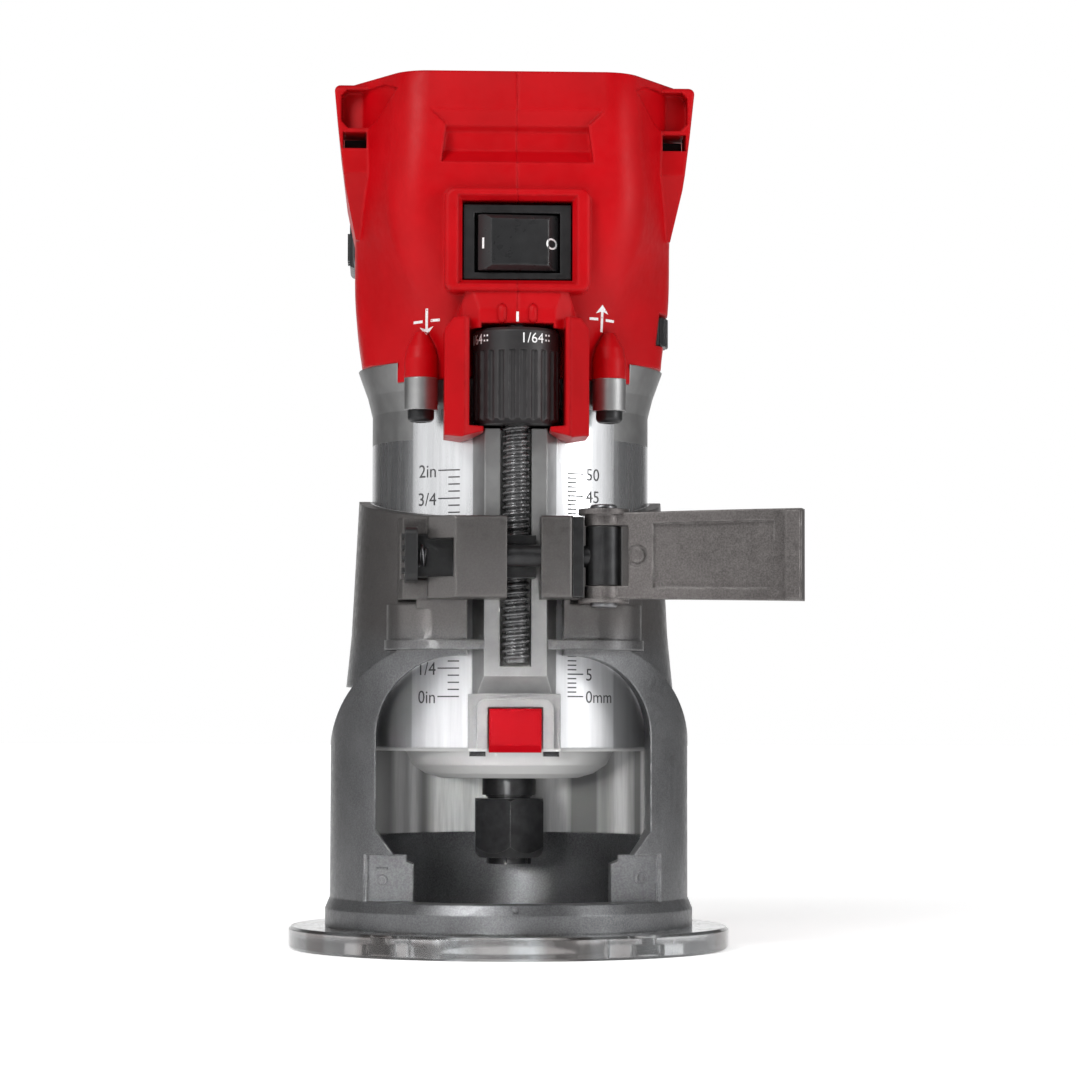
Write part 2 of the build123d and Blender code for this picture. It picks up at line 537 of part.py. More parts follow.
def housing_whole():
    """Both halves of the head as one solid."""
    outer = (head_loft() & box(-60, 60, -60, 60, STEP_Z, 220)) + battery_foot() + knob_shelf()
    for side in (-1, 1):
        block, cut = side_ear(side)
        outer += block
        outer -= cut
        outer += screw_cover(side) + fin(side)
    outer += switch_bezel()
    body = outer - head_cavity() - below_seam()
    body -= cyl(CAVITY_R, 100, BARREL_TOP + 0.5)
    body -= cyl(KNOB_POCKET_R, RAIL_Z1, KNOB_Z1 + 1.1, 0, KNOB_Y)
    body -= switch_opening() + grip_recess()
    body -= cyl(2.7, 130, 150, 0, KNOB_Y) + cyl(5.2, 142.5, 146.8, 0, KNOB_Y)
    body -= box(28, 45, DIAL_Y - 11, DIAL_Y + 11, DIAL_Z0 - 0.5, DIAL_Z1 + 0.5)
    body -= box(-13.4, 13.4, 30, 45, 155.0, 161.0)
    for side in (-1, 1):
        body -= cyl(1.7, STEP_Z - 1, STEP_Z + 6.2, side * BOSS_X, BOSS_Y)
    for y, z in housing_screw_places():
        body += rod_x(PILLAR_R, -45, 45, y, z) & outer
        body -= rod_x(SCREW_R, -15, 9, y, z) + rod_x(HEAD_BORE_R, HEAD_SEAT, 60, y, z)
    return body


def knob_shelf():
    """Overhang between the switch bezel and the knob, which holds the lead-screw bush."""
    top = SWITCH_Z0 + 1
    side = [(-28, KNOB_Z1), (SHELF_Y, KNOB_Z1), (SHELF_Y, 143.0), (SHELF_Y + 1.2, top), (-28, top)]
    right = [(SHELF_HALF, KNOB_Z1), (SHELF_HALF - 0.5, 142.5), (SHELF_HALF - 2.5, top)]
    plan = [(SHELF_HALF, -28), (SHELF_HALF, -39.5), (SHELF_HALF - 1.4, -42.6), (SHELF_HALF - 5.0, SHELF_Y)]
    shape = prism_x(side, -SHELF_HALF, SHELF_HALF)
    shape &= prism_y(right + [(-x, z) for x, z in reversed(right)], -60, 0)
    return shape & prism_z(plan + [(-x, y) for x, y in reversed(plan)], KNOB_Z1, top)


def fins_zone():
    """Space in front of the barrel that the fork tines hang in."""
    return box(-FIN_X1 - 0.1, FIN_X1 + 0.1, -60, -27.5, FIN_Z - 1, 140)


def grip_recess():
    """Finger recess over the switch: sloped brow, step, back wall and rising floor."""
    side = [(-60, RECESS_Z0), (-42.2, RECESS_Z0), (-38.9, 179.0), (-38.9, 183.2)]
    side += [(-40.1, 184.4), (-41.3, RECESS_Z1), (-60, RECESS_Z1)]
    right = [(16.9, RECESS_Z0), (15.8, 184.4), (20.7, RECESS_Z1)]
    front = right + [(-x, z) for x, z in reversed(right)]
    return prism_x(side, -30, 30) & prism_y(front, -60, -30)


def housing_screw_places():
    """(y, z) of the case screws: threaded on the left, counterbored on the right."""
    return [(28.0, 188.6), (28.0, 165.0), (60.0, 145.5), (92.0, 145.5)]


def housing_half(whole, side):
    keep = box(0, 60, -80, 140, 90, 220) if side > 0 else box(-60, 0, -80, 140, 90, 220)
    piece = whole & keep
    return max(piece.solids(), key=lambda solid: solid.volume)


def housing_screw(y, z):
    """Pan-head case screw with a six-lobe drive, modelled as a hex socket."""
    socket = Rot(0, 90, 0) * extrude(RegularPolygon(1.3, 6), 1.3)
    head = rod_x(2.9, HEAD_SEAT, HEAD_SEAT + 2.0, y, z) - Pos(HEAD_SEAT + 0.9, y, z) * socket
    return head + rod_x(1.5, -13.0, HEAD_SEAT, y, z)


def switch_frame():
    frame = box(-11.9, 11.9, -42.8, -27.0, OPEN_Z0 + 0.4, OPEN_Z1 - 0.9)
    frame -= box(-ROCKER_HALF - 0.5, ROCKER_HALF + 0.5, -60, -32.0, ROCKER_Z0 - 0.5, ROCKER_Z1 + 0.5)
    return frame


def rocker():
    """Rocker with two sloped faces, pivoting about an upright pin."""
    h, flat = ROCKER_HALF, 6.4
    half_plan = [(0, -5.2), (flat, -5.0), (h, -2.4), (h - 0.5, 0.2), (2.5, 2.6), (0, 2.6)]
    plan = half_plan + [(-x, y) for x, y in reversed(half_plan[1:-1])]
    side = [(-6.0, ROCKER_Z0 + 1.7), (-3.6, ROCKER_Z0), (4.0, ROCKER_Z0)]
    side += [(4.0, ROCKER_Z1), (-3.6, ROCKER_Z1), (-6.0, ROCKER_Z1 - 1.7)]
    body = prism_z(plan, ROCKER_Z0, ROCKER_Z1) & prism_x(side, -20, 20)
    return Pos(0, ROCKER_PIVOT_Y, 0) * Rot(0, 0, ROCKER_TILT) * body


def speed_dial():
    """Thumb wheel with grooves round its rim."""
    wheel = cyl(DIAL_R, DIAL_Z0, DIAL_Z1, DIAL_X, DIAL_Y)
    grooves = 28
    for k in range(grooves):
        a = math.tau * k / grooves
        x, y = DIAL_X + DIAL_R * math.cos(a), DIAL_Y + DIAL_R * math.sin(a)
        wheel -= cyl(0.55, DIAL_Z0 - 1, DIAL_Z1 + 1, x, y)
    return wheel - cyl(3.05, 130, 160, DIAL_X, DIAL_Y)


def dial_pot():
    """Potentiometer whose post carries the dial."""
    post = cyl(3.0, 136.0, 149.0, DIAL_X, DIAL_Y)
    return post + cyl(6.0, 149.0, 153.0, DIAL_X, DIAL_Y)


def adjust_knob():
    """Depth knob: fluted grip under a smooth scale band."""
    profile = [(0, KNOB_Z0), (8.4, KNOB_Z0), (KNOB_R, 118.7), (KNOB_R, 138.0), (8.9, KNOB_Z1), (0, KNOB_Z1)]
    body = Pos(0, KNOB_Y, 0) * turned(profile)
    for k in range(24):
        a = math.radians(15 * k + 7.5)
        r = KNOB_R + 0.2
        body -= cyl(0.75, 110, KNOB_BAND, r * math.cos(a), KNOB_Y + r * math.sin(a))
    return body - cyl(LEAD_R, 100, 150, 0, KNOB_Y)


def lead_screw():
    """Lead screw at its thread's crest size, with a plain upper journal."""
    return cyl(LEAD_R, LEAD_Z0, KNOB_Z1 + 0.6, 0, KNOB_Y) + cyl(2.5, KNOB_Z1 + 0.6, 147.0, 0, KNOB_Y)


def screw_bushing():
    """Bush in the head that carries the lead screw's journal."""
    return cyl(5.2, 142.5, 145.4, 0, KNOB_Y) - cyl(2.55, 140, 150, 0, KNOB_Y)


def screw_clip():
    """Retaining clip over the bush."""
    return cyl(3.8, 145.6, 146.5, 0, KNOB_Y) - cyl(2.5, 140, 150, 0, KNOB_Y)


def lock_button():
    pad = box(-LOCK_HALF, LOCK_HALF, LOCK_Y, -35.6, LOCK_Z0, LOCK_Z1)
    pad = chamfer([e for e in pad.edges() if abs(e.center().Y - LOCK_Y) < 0.1 and e.center().Z < 46], 1.6)
    return fillet([e for e in pad.edges() if abs(e.center().Y - LOCK_Y) < 0.1], 0.5)


def lock_pin():
    """Pin from the button to the cross holes of the spindle collar."""
    return rod_y(1.8, -35.6, -9.0, 0, PIN_Z)


def lock_spring():
    """Envelope of the button's return spring."""
    return rod_y(2.9, -35.5, -27.1, 0, PIN_Z) - rod_y(2.2, -36, -26, 0, PIN_Z)


def stator_core():
    """Laminated stator ring with nine winding slots."""
    core = cyl(STATOR_R, STATOR_Z0, STATOR_Z1) - cyl(ROTOR_R + 0.6, 50, 110)
    for k in range(9):
        slot = Rot(0, 0, 40 * k) * box(15.0, 22.5, -2.6, 2.6, STATOR_Z0 - 1, STATOR_Z1 + 1)
        core -= slot
    return core


def stator_windings():
    """Copper coils: one block per slot joined by the end turns."""
    ends = cyl(23.0, STATOR_Z1, STATOR_Z1 + 5.5) - cyl(15.2, 50, 120)
    ends += cyl(23.0, STATOR_Z0 - 5.5, STATOR_Z0) - cyl(15.2, 50, 120)
    for k in range(9):
        ends += Rot(0, 0, 40 * k) * box(15.3, 22.3, -2.4, 2.4, STATOR_Z0 - 1, STATOR_Z1 + 1)
    return ends


def bearing(r_out, r_in, z0, z1):
    """Sealed ball bearing, its seals set a little below the races."""
    ring = cyl(r_out, z0, z1) - cyl(r_in, z0 - 1, z1 + 1)
    groove_out, groove_in = r_out - 1.8, r_in + 1.6
    for low, high in ((z0 - 1, z0 + 0.4), (z1 - 0.4, z1 + 1)):
        ring -= cyl(groove_out, low, high) - cyl(groove_in, low, high)
    return ring


def bearing_bracket():
    """Spider that holds the upper bearing in the top of the barrel."""
    plate = cyl(25.9, 118.6, 121.6) + cyl(14.0, 112.6, 121.6)
    plate -= cyl(11.0, 110, 119.6) + cyl(5.6, 110, 125)
    for k in range(6):
        plate -= Rot(0, 0, 60 * k + 30) * Pos(20, 0, 120) * Cylinder(3.8, 10)
    return plate


def spindle():
    """Spindle with its locking collar, rotor shaft and collet socket."""
    body = turned(
        [
            (0, 34.8),
            (5.4, 34.8),
            (5.4, 35.2),
            (NECK_R, 35.2),
            (NECK_R, 42.0),
            (SHAFT_R, 42.0),
            (SHAFT_R, 50.0),
            (COLLAR_R, 50.3),
            (COLLAR_R, 54.5),
            (5.5, 55.4),
            (5.5, 112.6),
            (4.0, 112.6),
            (4.0, 122.5),
            (0, 122.5),
        ]
    )
    for k in range(2):
        body -= Rot(0, 0, 90 * k) * rod_y(2.1, -9, 9, 0, PIN_Z)
    return body + cyl(5.0, 25.5, 35.0) - cyl(4.55, 10, 33.8)


def collet():
    """Slotted steel collet for a quarter-inch shank."""
    profile = [(BIT_R, COLLET_TIP_Z), (5.2, COLLET_TIP_Z), (5.2, 24.0), (4.5, 25.2)]
    profile += [(4.5, 33.0), (BIT_R, 33.0)]
    body = turned(profile)
    for k in range(3):
        body -= Rot(0, 0, 60 * k + 20) * box(-8, 8, -0.3, 0.3, 18.0, 30.0)
    return body


def collet_nut():
    """Hex nut with chamfered corners and a corner to the front."""
    hexagon = RegularPolygon(NUT_FLATS / 2, 6, major_radius=False, rotation=30)
    prism = extrude(Pos(0, 0, NUT_Z0) * hexagon, NUT_Z1 - NUT_Z0)
    r = NUT_FLATS / math.sqrt(3)
    profile = [(0, NUT_Z0), (r - 2.0, NUT_Z0), (r, NUT_Z0 + 2.6), (r, NUT_Z1 - 0.7), (r - 0.7, NUT_Z1)]
    barrel = turned(profile + [(0, NUT_Z1)])
    return (prism & barrel) - cyl(5.5, 10, 25.0) - cyl(5.06, 20, 40)


def rotor_core():
    return cyl(ROTOR_R - 2.4, STATOR_Z0, STATOR_Z1) - cyl(5.5, 50, 110)


def rotor_magnets():
    """Four arc magnets round the rotor core."""
    ring = cyl(ROTOR_R, STATOR_Z0 + 0.5, STATOR_Z1 - 0.5) - cyl(ROTOR_R - 2.4, 50, 110)
    for k in range(2):
        ring -= Rot(0, 0, 90 * k + 45) * box(-20, 20, -0.8, 0.8, 50, 110)
    return ring


def cooling_fan():
    """Radial fan on the rotor shaft."""
    fan = cyl(23.5, 102.0, 103.4) + cyl(7.6, 102.0, 110.5) - cyl(5.5, 90, 120)
    for k in range(12):
        fan += Rot(0, 0, 30 * k) * Rot(0, 0, 20) * box(9.0, 23.0, -0.6, 0.6, 103.0, 110.0)
    return fan


def control_board():
    board = box(-24, 24, -20, 24, 127.6, 129.2)
    parts = [box(-20, -8, 4, 18, 129.2, 138), box(-3, 8, 6, 16, 129.2, 134), cyl(4.0, 129.2, 140, 15, 14)]
    parts += [box(x, x + 4, -14, -4, 129.2, 133.5) for x in (-18, -11, -4, 3)]
    for part in parts:
        board += part
    return board & cyl(25.9, 120, 145)


def heat_sink():
    """Finned aluminium sink under the board."""
    plate = box(-17, 17, -16, 16, 124.6, 127.6)
    for k in range(7):
        plate -= box(-15.6 + k * 4.6, -13.2 + k * 4.6, -20, 20, 124.0, 126.4)
    return plate & cyl(25.5, 120, 130)


# --- battery ---
def terminal_block():
    """Tool-side terminals at the back wall of the head."""
    block = box(-13.2, 13.2, 31.0, 40.0, 155.2, 160.8)
    for x in BLADES:
        block += box(x - 0.4, x + 0.4, 40.0, 52.0, 155.8, 160.2)
    return block


def pack_outer():
    body = box(-PACK_HALF, PACK_HALF, PACK_Y0, PACK_Y1, PACK_BODY_Z, PACK_TOP)
    body = fillet(body.edges().filter_by(Axis.Y), 5.0)
    body = round_z(body, 4.0)
    low = box(-PACK_FOOT_HALF, PACK_FOOT_HALF, PACK_Y0 + 1, PACK_Y1 - 4, PACK_FOOT_Z, PACK_BODY_Z + 1)
    return body + round_z(low, 3.0)


def pack_inner():
    body = box(-29.0, 29.0, PACK_Y0 + 2.4, PACK_Y1 - 2.4, PACK_BODY_Z + 0.3, PACK_TOP - 2.4)
    return round_z(body, 2.0)


def pack_shell():
    shell = pack_outer() - pack_inner()
    flange, web, end = FOOT_FLANGE + FIT, FOOT_WEB + FIT, FOOT_END + 2
    shell -= box(-flange, flange, 30, end, RAIL_FOOT_Z0 - FIT, RAIL_FOOT_Z1 + FIT)
    shell -= box(-web, web, 30, end, 140, RAIL_FOOT_Z0)
    shell -= box(-14.2, 14.2, 30, 54.0, RAIL_FOOT_Z1, 161.2)
    for side in (-1, 1):
        shell -= box(side * 34.1 - 3.6, side * 34.1 + 3.6, 70.6, 93.4, 166.6, 179.4)
    return shell


def battery_case(shell, upper):
    keep = box(-60, 60, 0, 200, PACK_SPLIT, 220) if upper else box(-60, 60, 0, 200, 140, PACK_SPLIT)
    piece = shell & keep
    return max(piece.solids(), key=lambda solid: solid.volume)


def battery_cell(x, z):
    y0 = PACK_Y0 + 4.0
    body = rod_y(CELL_R, y0, y0 + CELL_LEN, x, z)
    return body + rod_y(3.0, y0 + CELL_LEN, y0 + CELL_LEN + 1.2, x, z)


def cell_places():
    """(x, z) of five cells, three over two."""
    low, high, half = 171.6, 187.3, CELL_PITCH / 2
    return [(-CELL_PITCH, high), (0.0, high), (CELL_PITCH, high), (-half, low), (half, low)]


def battery_latch(side):
    """Side button of the pack with two grip ribs."""
    pad = box(32.0, 38.4, 71.0, 93.0, 167.0, 179.0)
    pad = fillet([e for e in pad.edges() if e.center().X > 38], 1.2)
    for y in (77.0, 81.0, 85.0):
        pad += box(38.2, 39.0, y, y + 1.4, 169.5, 176.5)
    return pad if side > 0 else mirrored(pad)


def battery_terminals():
    """Sprung clips of the pack, one pair per blade."""
    clips = []
    for blade in BLADES:
        clips += [box(x - 0.3, x + 0.3, 46.0, 53.9, 156.0, 161.2) for x in (blade - 1.0, blade + 1.0)]
    return clips


def battery_board():
    return box(-26, 26, 58, 108, PACK_BODY_Z + 0.3, PACK_BODY_Z + 0.9)


def build():
    save("base_casting", base_casting())
    save("sub_base", sub_base())
    save("sub_base_screws", *[foot_screw(x, y) for x, y in foot_screw_places()])
    save("clamp_bolt", clamp_bolt())
    save("thrust_washer", thrust_washer())
    save("clamp_lever", clamp_lever())
    save("lever_pin", lever_pin())
    save("macro_button", macro_button())
    save("half_nut", half_nut())
    save("macro_spring", macro_spring())
    save("motor_barrel", motor_barrel())
    save("barrel_screws", barrel_screw(-1), barrel_screw(1))
    save("led_lenses", led_lens(-1), led_lens(1))
    whole = housing_whole()
    save("housing_left", housing_half(whole, -1))
    save("housing_right", housing_half(whole, 1))
    save("housing_screws", *[housing_screw(y, z) for y, z in housing_screw_places()])
    save("switch_frame", switch_frame())
    save("rocker", rocker())
    save("speed_dial", speed_dial())
    save("dial_pot", dial_pot())
    save("adjust_knob", adjust_knob())
    save("lead_screw", lead_screw())
    save("screw_bushing", screw_bushing())
    save("screw_clip", screw_clip())
    save("lock_button", lock_button())
    save("lock_pin", lock_pin())
    save("lock_spring", lock_spring())
    save("stator_core", stator_core())
    save("stator_windings", stator_windings())
    save("lower_bearing", bearing(14.0, SHAFT_R + RUNNING_FIT, 42.0, 50.0))
    save("upper_bearing", bearing(11.0, 4.0 + RUNNING_FIT, 112.7, 119.6))
    save("bearing_bracket", bearing_bracket())
    save("spindle", spindle())
    save("collet", collet())
    save("collet_nut", collet_nut())
    save("rotor_core", rotor_core())
    save("rotor_magnets", rotor_magnets())
    save("cooling_fan", cooling_fan())
    save("control_board", control_board())
    save("heat_sink", heat_sink())
    save("terminal_block", terminal_block())
    shell = pack_shell()
    save("battery_case_lower", battery_case(shell, False))
    save("battery_case_upper", battery_case(shell, True))
    save("battery_cells", *[battery_cell(x, z) for x, z in cell_places()])
    save("latch_left", battery_latch(-1))
    save("latch_right", battery_latch(1))
    save("battery_terminals", *battery_terminals())
    save("battery_board", battery_board())


build()
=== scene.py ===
import math

import bmesh
import bpy
from mathutils import Matrix, Vector

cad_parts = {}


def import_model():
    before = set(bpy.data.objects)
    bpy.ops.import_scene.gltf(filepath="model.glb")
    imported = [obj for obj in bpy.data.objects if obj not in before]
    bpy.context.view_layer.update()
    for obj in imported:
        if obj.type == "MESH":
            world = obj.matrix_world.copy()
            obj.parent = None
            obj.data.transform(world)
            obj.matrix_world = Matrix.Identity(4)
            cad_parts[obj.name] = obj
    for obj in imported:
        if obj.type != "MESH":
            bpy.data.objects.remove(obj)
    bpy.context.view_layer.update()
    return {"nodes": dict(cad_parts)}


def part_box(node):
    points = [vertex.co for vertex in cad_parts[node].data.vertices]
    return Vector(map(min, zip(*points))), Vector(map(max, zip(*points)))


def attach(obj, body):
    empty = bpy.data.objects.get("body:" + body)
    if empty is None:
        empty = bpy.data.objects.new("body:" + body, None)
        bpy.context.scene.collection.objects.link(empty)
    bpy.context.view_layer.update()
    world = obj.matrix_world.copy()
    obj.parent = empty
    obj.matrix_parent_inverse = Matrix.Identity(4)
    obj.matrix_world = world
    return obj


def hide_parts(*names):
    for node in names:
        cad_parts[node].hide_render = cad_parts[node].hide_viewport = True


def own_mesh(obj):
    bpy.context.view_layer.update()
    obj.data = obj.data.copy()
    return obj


# A compact trim router: looks, printed scales, thread, springs, marks, floor, light and camera.
# Lengths are in millimetres. They become metres in to_m(), or times MM.

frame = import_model()
NODES = frame["nodes"]

MM = 0.001
BARREL_R = 32.0
KNOB_Y, KNOB_R = -38.2, 9.6
THREAD_PITCH = 1.5875
INK_PROUD = 0.02
INK_DEPTH = 0.04

# Where a finish starts and ends. On the casting: warm collar, bright machined bore with a painted reflection.
COLLAR_Z, BORE_R, BORE_Z = (66.0, 74.0), (32.55, 32.25), (25.6, 25.8)
# On the barrel: proud rail, flanks darkened by a painted reflection, front and back, blasted ends, and the part
# seen through the window.
RAIL_R, RAIL_Y = (BARREL_R + 0.15, BARREL_R + 0.35), (-20.0, -22.0)
FLANK_X, FRONT_Y, BACK_Y = (22.6, 22.9), (2.0, -8.0), (-12.0, -8.0)
NOSE_Z, COLLAR_BAND_Z, FLARE_Z, WINDOW_Z = (46.2, 45.8), (115.6, 115.8), (122.2, 122.6), (78.0, 70.0)


def to_m(point):
    return Vector(point) * MM


# --- materials ---
class Paint:
    """A procedural material: a Principled shader and the nodes that feed it."""

    def __init__(self, name, **sockets):
        self.material = bpy.data.materials.new("finish_" + name)
        self.material.use_nodes = True
        self.nodes = self.material.node_tree.nodes
        self.links = self.material.node_tree.links
        self.shader = self.nodes["Principled BSDF"]
        self.place = self.nodes.new("ShaderNodeTexCoord").outputs["Object"]
        self.normal = None
        for socket, value in sockets.items():
            self.shader.inputs[socket.replace("_", " ")].default_value = value

    def feed(self, socket, value):
        """Link an output, or set a constant."""
        if isinstance(value, bpy.types.NodeSocket):
            self.links.new(value, socket)
        else:
            socket.default_value = value

    def stretched(self, stretch):
        node = self.nodes.new("ShaderNodeMapping")
        node.inputs["Scale"].default_value = stretch
        self.links.new(self.place, node.inputs["Vector"])
        return node.outputs["Vector"]

    def noise(self, size, detail=3.0, roughness=0.55, stretch=None):
        """Noise whose features are about size millimetres across."""
        node = self.nodes.new("ShaderNodeTexNoise")
        node.inputs["Scale"].default_value = 1.0 / (size * MM)
        node.inputs["Detail"].default_value = detail
        node.inputs["Roughness"].default_value = roughness
        self.links.new(self.stretched(stretch) if stretch else self.place, node.inputs["Vector"])
        return node.outputs["Fac"]

    def cells(self, size, stretch=None):
        node = self.nodes.new("ShaderNodeTexVoronoi")
        node.inputs["Scale"].default_value = 1.0 / (size * MM)
        self.links.new(self.stretched(stretch) if stretch else self.place, node.inputs["Vector"])
        return node.outputs["Distance"]

    def rings(self, size, wobble=0.6):
        """Bands across Z about size millimetres apart, as a lathe or a stack leaves them."""
        period_at_unit_scale = 0.314
        node = self.nodes.new("ShaderNodeTexWave")
        node.bands_direction = "Z"
        node.inputs["Scale"].default_value = period_at_unit_scale / (size * MM)
        node.inputs["Distortion"].default_value = wobble
        node.inputs["Detail"].default_value = 2.0
        self.links.new(self.place, node.inputs["Vector"])
        return node.outputs["Fac"]

    def span(self, value, low, high, out_low=0.0, out_high=1.0):
        node = self.nodes.new("ShaderNodeMapRange")
        for name, number in zip(("From Min", "From Max", "To Min", "To Max"), (low, high, out_low, out_high)):
            node.inputs[name].default_value = number
        self.links.new(value, node.inputs["Value"])
        return node.outputs["Result"]

    def across(self, length, low, high):
        """0 to 1 as a length passes from low to high millimetres."""
        return self.span(length, low * MM, high * MM)

    def calc(self, operation, a, b=0.0):
        node = self.nodes.new("ShaderNodeMath")
        node.operation = operation
        self.feed(node.inputs[0], a)
        self.feed(node.inputs[1], b)
        return node.outputs[0]

    def axis(self, name):
        node = self.nodes.new("ShaderNodeSeparateXYZ")
        self.links.new(self.place, node.inputs[0])
        return node.outputs[name]

    def from_axis(self):
        """Distance from the spindle axis."""
        x, y = self.axis("X"), self.axis("Y")
        return self.calc("SQRT", self.calc("ADD", self.calc("MULTIPLY", x, x), self.calc("MULTIPLY", y, y)))

    def blend(self, factor, a, b):
        node = self.nodes.new("ShaderNodeMix")
        node.data_type = "RGBA"
        self.feed(node.inputs["Factor"], factor)
        self.feed(node.inputs[6], a)
        self.feed(node.inputs[7], b)
        return node.outputs[2]

    def rounded(self, radius):
        """Soft edge normals, as moulded and cast parts have."""
        node = self.nodes.new("ShaderNodeBevel")
        node.samples = 4
        node.inputs["Radius"].default_value = radius * MM
        self.normal = node.outputs["Normal"]
        return self.normal

    def edges(self, gain):
        """1 near an edge, 0 on a face. Needs rounded() first."""
        plain = self.nodes.new("ShaderNodeNewGeometry").outputs["Normal"]
        dot = self.nodes.new("ShaderNodeVectorMath")
        dot.operation = "DOT_PRODUCT"
        self.links.new(self.normal, dot.inputs[0])
        self.links.new(plain, dot.inputs[1])
        away = self.calc("SUBTRACT", 1.0, dot.outputs["Value"])
        return self.span(away, 0.0, 1.0 / gain)

    def bump(self, height, strength, depth):
        node = self.nodes.new("ShaderNodeBump")
        node.inputs["Strength"].default_value = strength
        node.inputs["Distance"].default_value = depth * MM
        self.links.new(height, node.inputs["Height"])
        if self.normal:
            self.links.new(self.normal, node.inputs["Normal"])
        self.normal = node.outputs["Normal"]

    def done(self, colour=None, roughness=None):
        if colour is not None:
            self.feed(self.shader.inputs["Base Color"], colour)
        if roughness is not None:
            self.feed(self.shader.inputs["Roughness"], roughness)
        if self.normal:
            self.links.new(self.normal, self.shader.inputs["Normal"])
        return self.material


def rgb(red, green, blue):
    """Linear colour from 0 to 255 screen values."""
    def linear(value):
        value /= 255.0
        return value / 12.92 if value <= 0.04045 else ((value + 0.055) / 1.055) ** 2.4
    return (linear(red), linear(green), linear(blue), 1.0)


def cast_metal(name, dark, light, edge, roughness, metallic, bored=False):
    """Powder-coated casting: mottled, faintly pebbled, brighter along its edges (partly rubbed wear, partly
    painted highlight). With bored, the machined bore gets a painted reflection.
    """
    p = Paint(name)
    p.rounded(0.6)
    # Edges lighter: partly rubbed wear, partly painted highlight.
    worn_and_highlit = p.calc("MULTIPLY", p.edges(5.0), p.span(p.noise(3.0), 0.42, 0.62))
    mottle = p.span(p.noise(9.0, detail=5.0), 0.3, 0.7)
    speck = p.span(p.noise(0.35, detail=2.0), 0.35, 0.7)
    base = p.blend(mottle, dark, light)
    base = p.blend(p.calc("MULTIPLY", speck, 0.22), base, edge)
    base = p.blend(p.calc("MULTIPLY", worn_and_highlit, 0.6), base, edge)
    rough = p.span(p.noise(1.6, detail=5.0), 0.3, 0.7, roughness - 0.07, roughness + 0.09)
    grain = p.noise(0.5, detail=4.0, roughness=0.65)
    coated = metallic
    if bored:
        collar = p.calc("MULTIPLY", p.across(p.axis("Z"), *COLLAR_Z), 0.65)
        base = p.blend(collar, base, rgb(90, 85, 82))
        bore = p.calc("MULTIPLY", p.across(p.from_axis(), *BORE_R), p.across(p.axis("Z"), *BORE_Z))
        outside = p.calc("SUBTRACT", 1.0, bore)
        # Painted reflection: the bore is near-white and barely metallic, crossed by bright and dark vertical
        # bands.
        streak = p.noise(1.5, detail=4.0, stretch=(1.6, 1.6, 0.12))
        bands = p.span(p.noise(8.0, detail=1.0, stretch=(1.0, 1.0, 0.01)), 0.42, 0.56)
        painted_bore_reflection = p.calc("MULTIPLY", bands, p.span(streak, 0.25, 0.6, 0.7, 1.0))
        base = p.blend(bore, base, p.blend(painted_bore_reflection, rgb(140, 140, 140), rgb(255, 255, 255)))
        rough = p.calc("ADD", p.calc("MULTIPLY", outside, rough), p.calc("MULTIPLY", bore, 0.2))
        grain = p.calc("MULTIPLY", grain, outside)
        coated = p.span(bore, 0.0, 1.0, metallic, 0.08)
    p.bump(grain, 0.3, 0.05)
    p.bump(p.noise(4.0, detail=2.0), 0.12, 0.12)
    p.feed(p.shader.inputs["Metallic"], coated)
    return p.done(base, rough)


def moulded(name, dark, light, roughness, grain=0.3, edge=None, coat=0.0, gloss=0.4, soft=0.55):
    """Moulded plastic with a fine spark-eroded grain; given an edge colour, its edges get a painted highlight."""
    p = Paint(name, Coat_Weight=coat, Coat_Roughness=0.25, Specular_IOR_Level=gloss)
    p.rounded(soft)
    colour = p.blend(p.span(p.noise(14.0, detail=4.0), 0.3, 0.7), dark, light)
    if edge:
        # Painted highlight along the edges, patchy.
        painted_edge_highlight = p.calc("MULTIPLY", p.edges(4.0), p.span(p.noise(2.4), 0.35, 0.6))
        colour = p.blend(p.calc("MULTIPLY", painted_edge_highlight, 0.45), colour, edge)
    p.bump(p.noise(0.28, detail=3.0, roughness=0.7), grain, 0.03)
    p.bump(p.cells(0.5), grain * 0.4, 0.02)
    return p.done(colour, p.span(p.noise(2.2, detail=4.0), 0.3, 0.7, roughness - 0.05, roughness + 0.07))


def machined(name, dark, light, roughness):
    """Turned metal: fine tool lines round the axis."""
    p = Paint(name, Metallic=1.0)
    p.rounded(0.25)
    lines = p.rings(0.22)
    streak = p.noise(1.4, detail=4.0, stretch=(0.3, 0.3, 3.0))
    colour = p.blend(p.span(streak, 0.35, 0.65), dark, light)
    colour = p.blend(p.calc("MULTIPLY", p.edges(5.0), 0.5), colour, light)
    p.bump(lines, 0.08, 0.01)
    p.bump(p.noise(0.2, detail=3.0), 0.06, 0.01)
    return p.done(colour, p.span(streak, 0.3, 0.7, roughness - 0.05, roughness + 0.08))


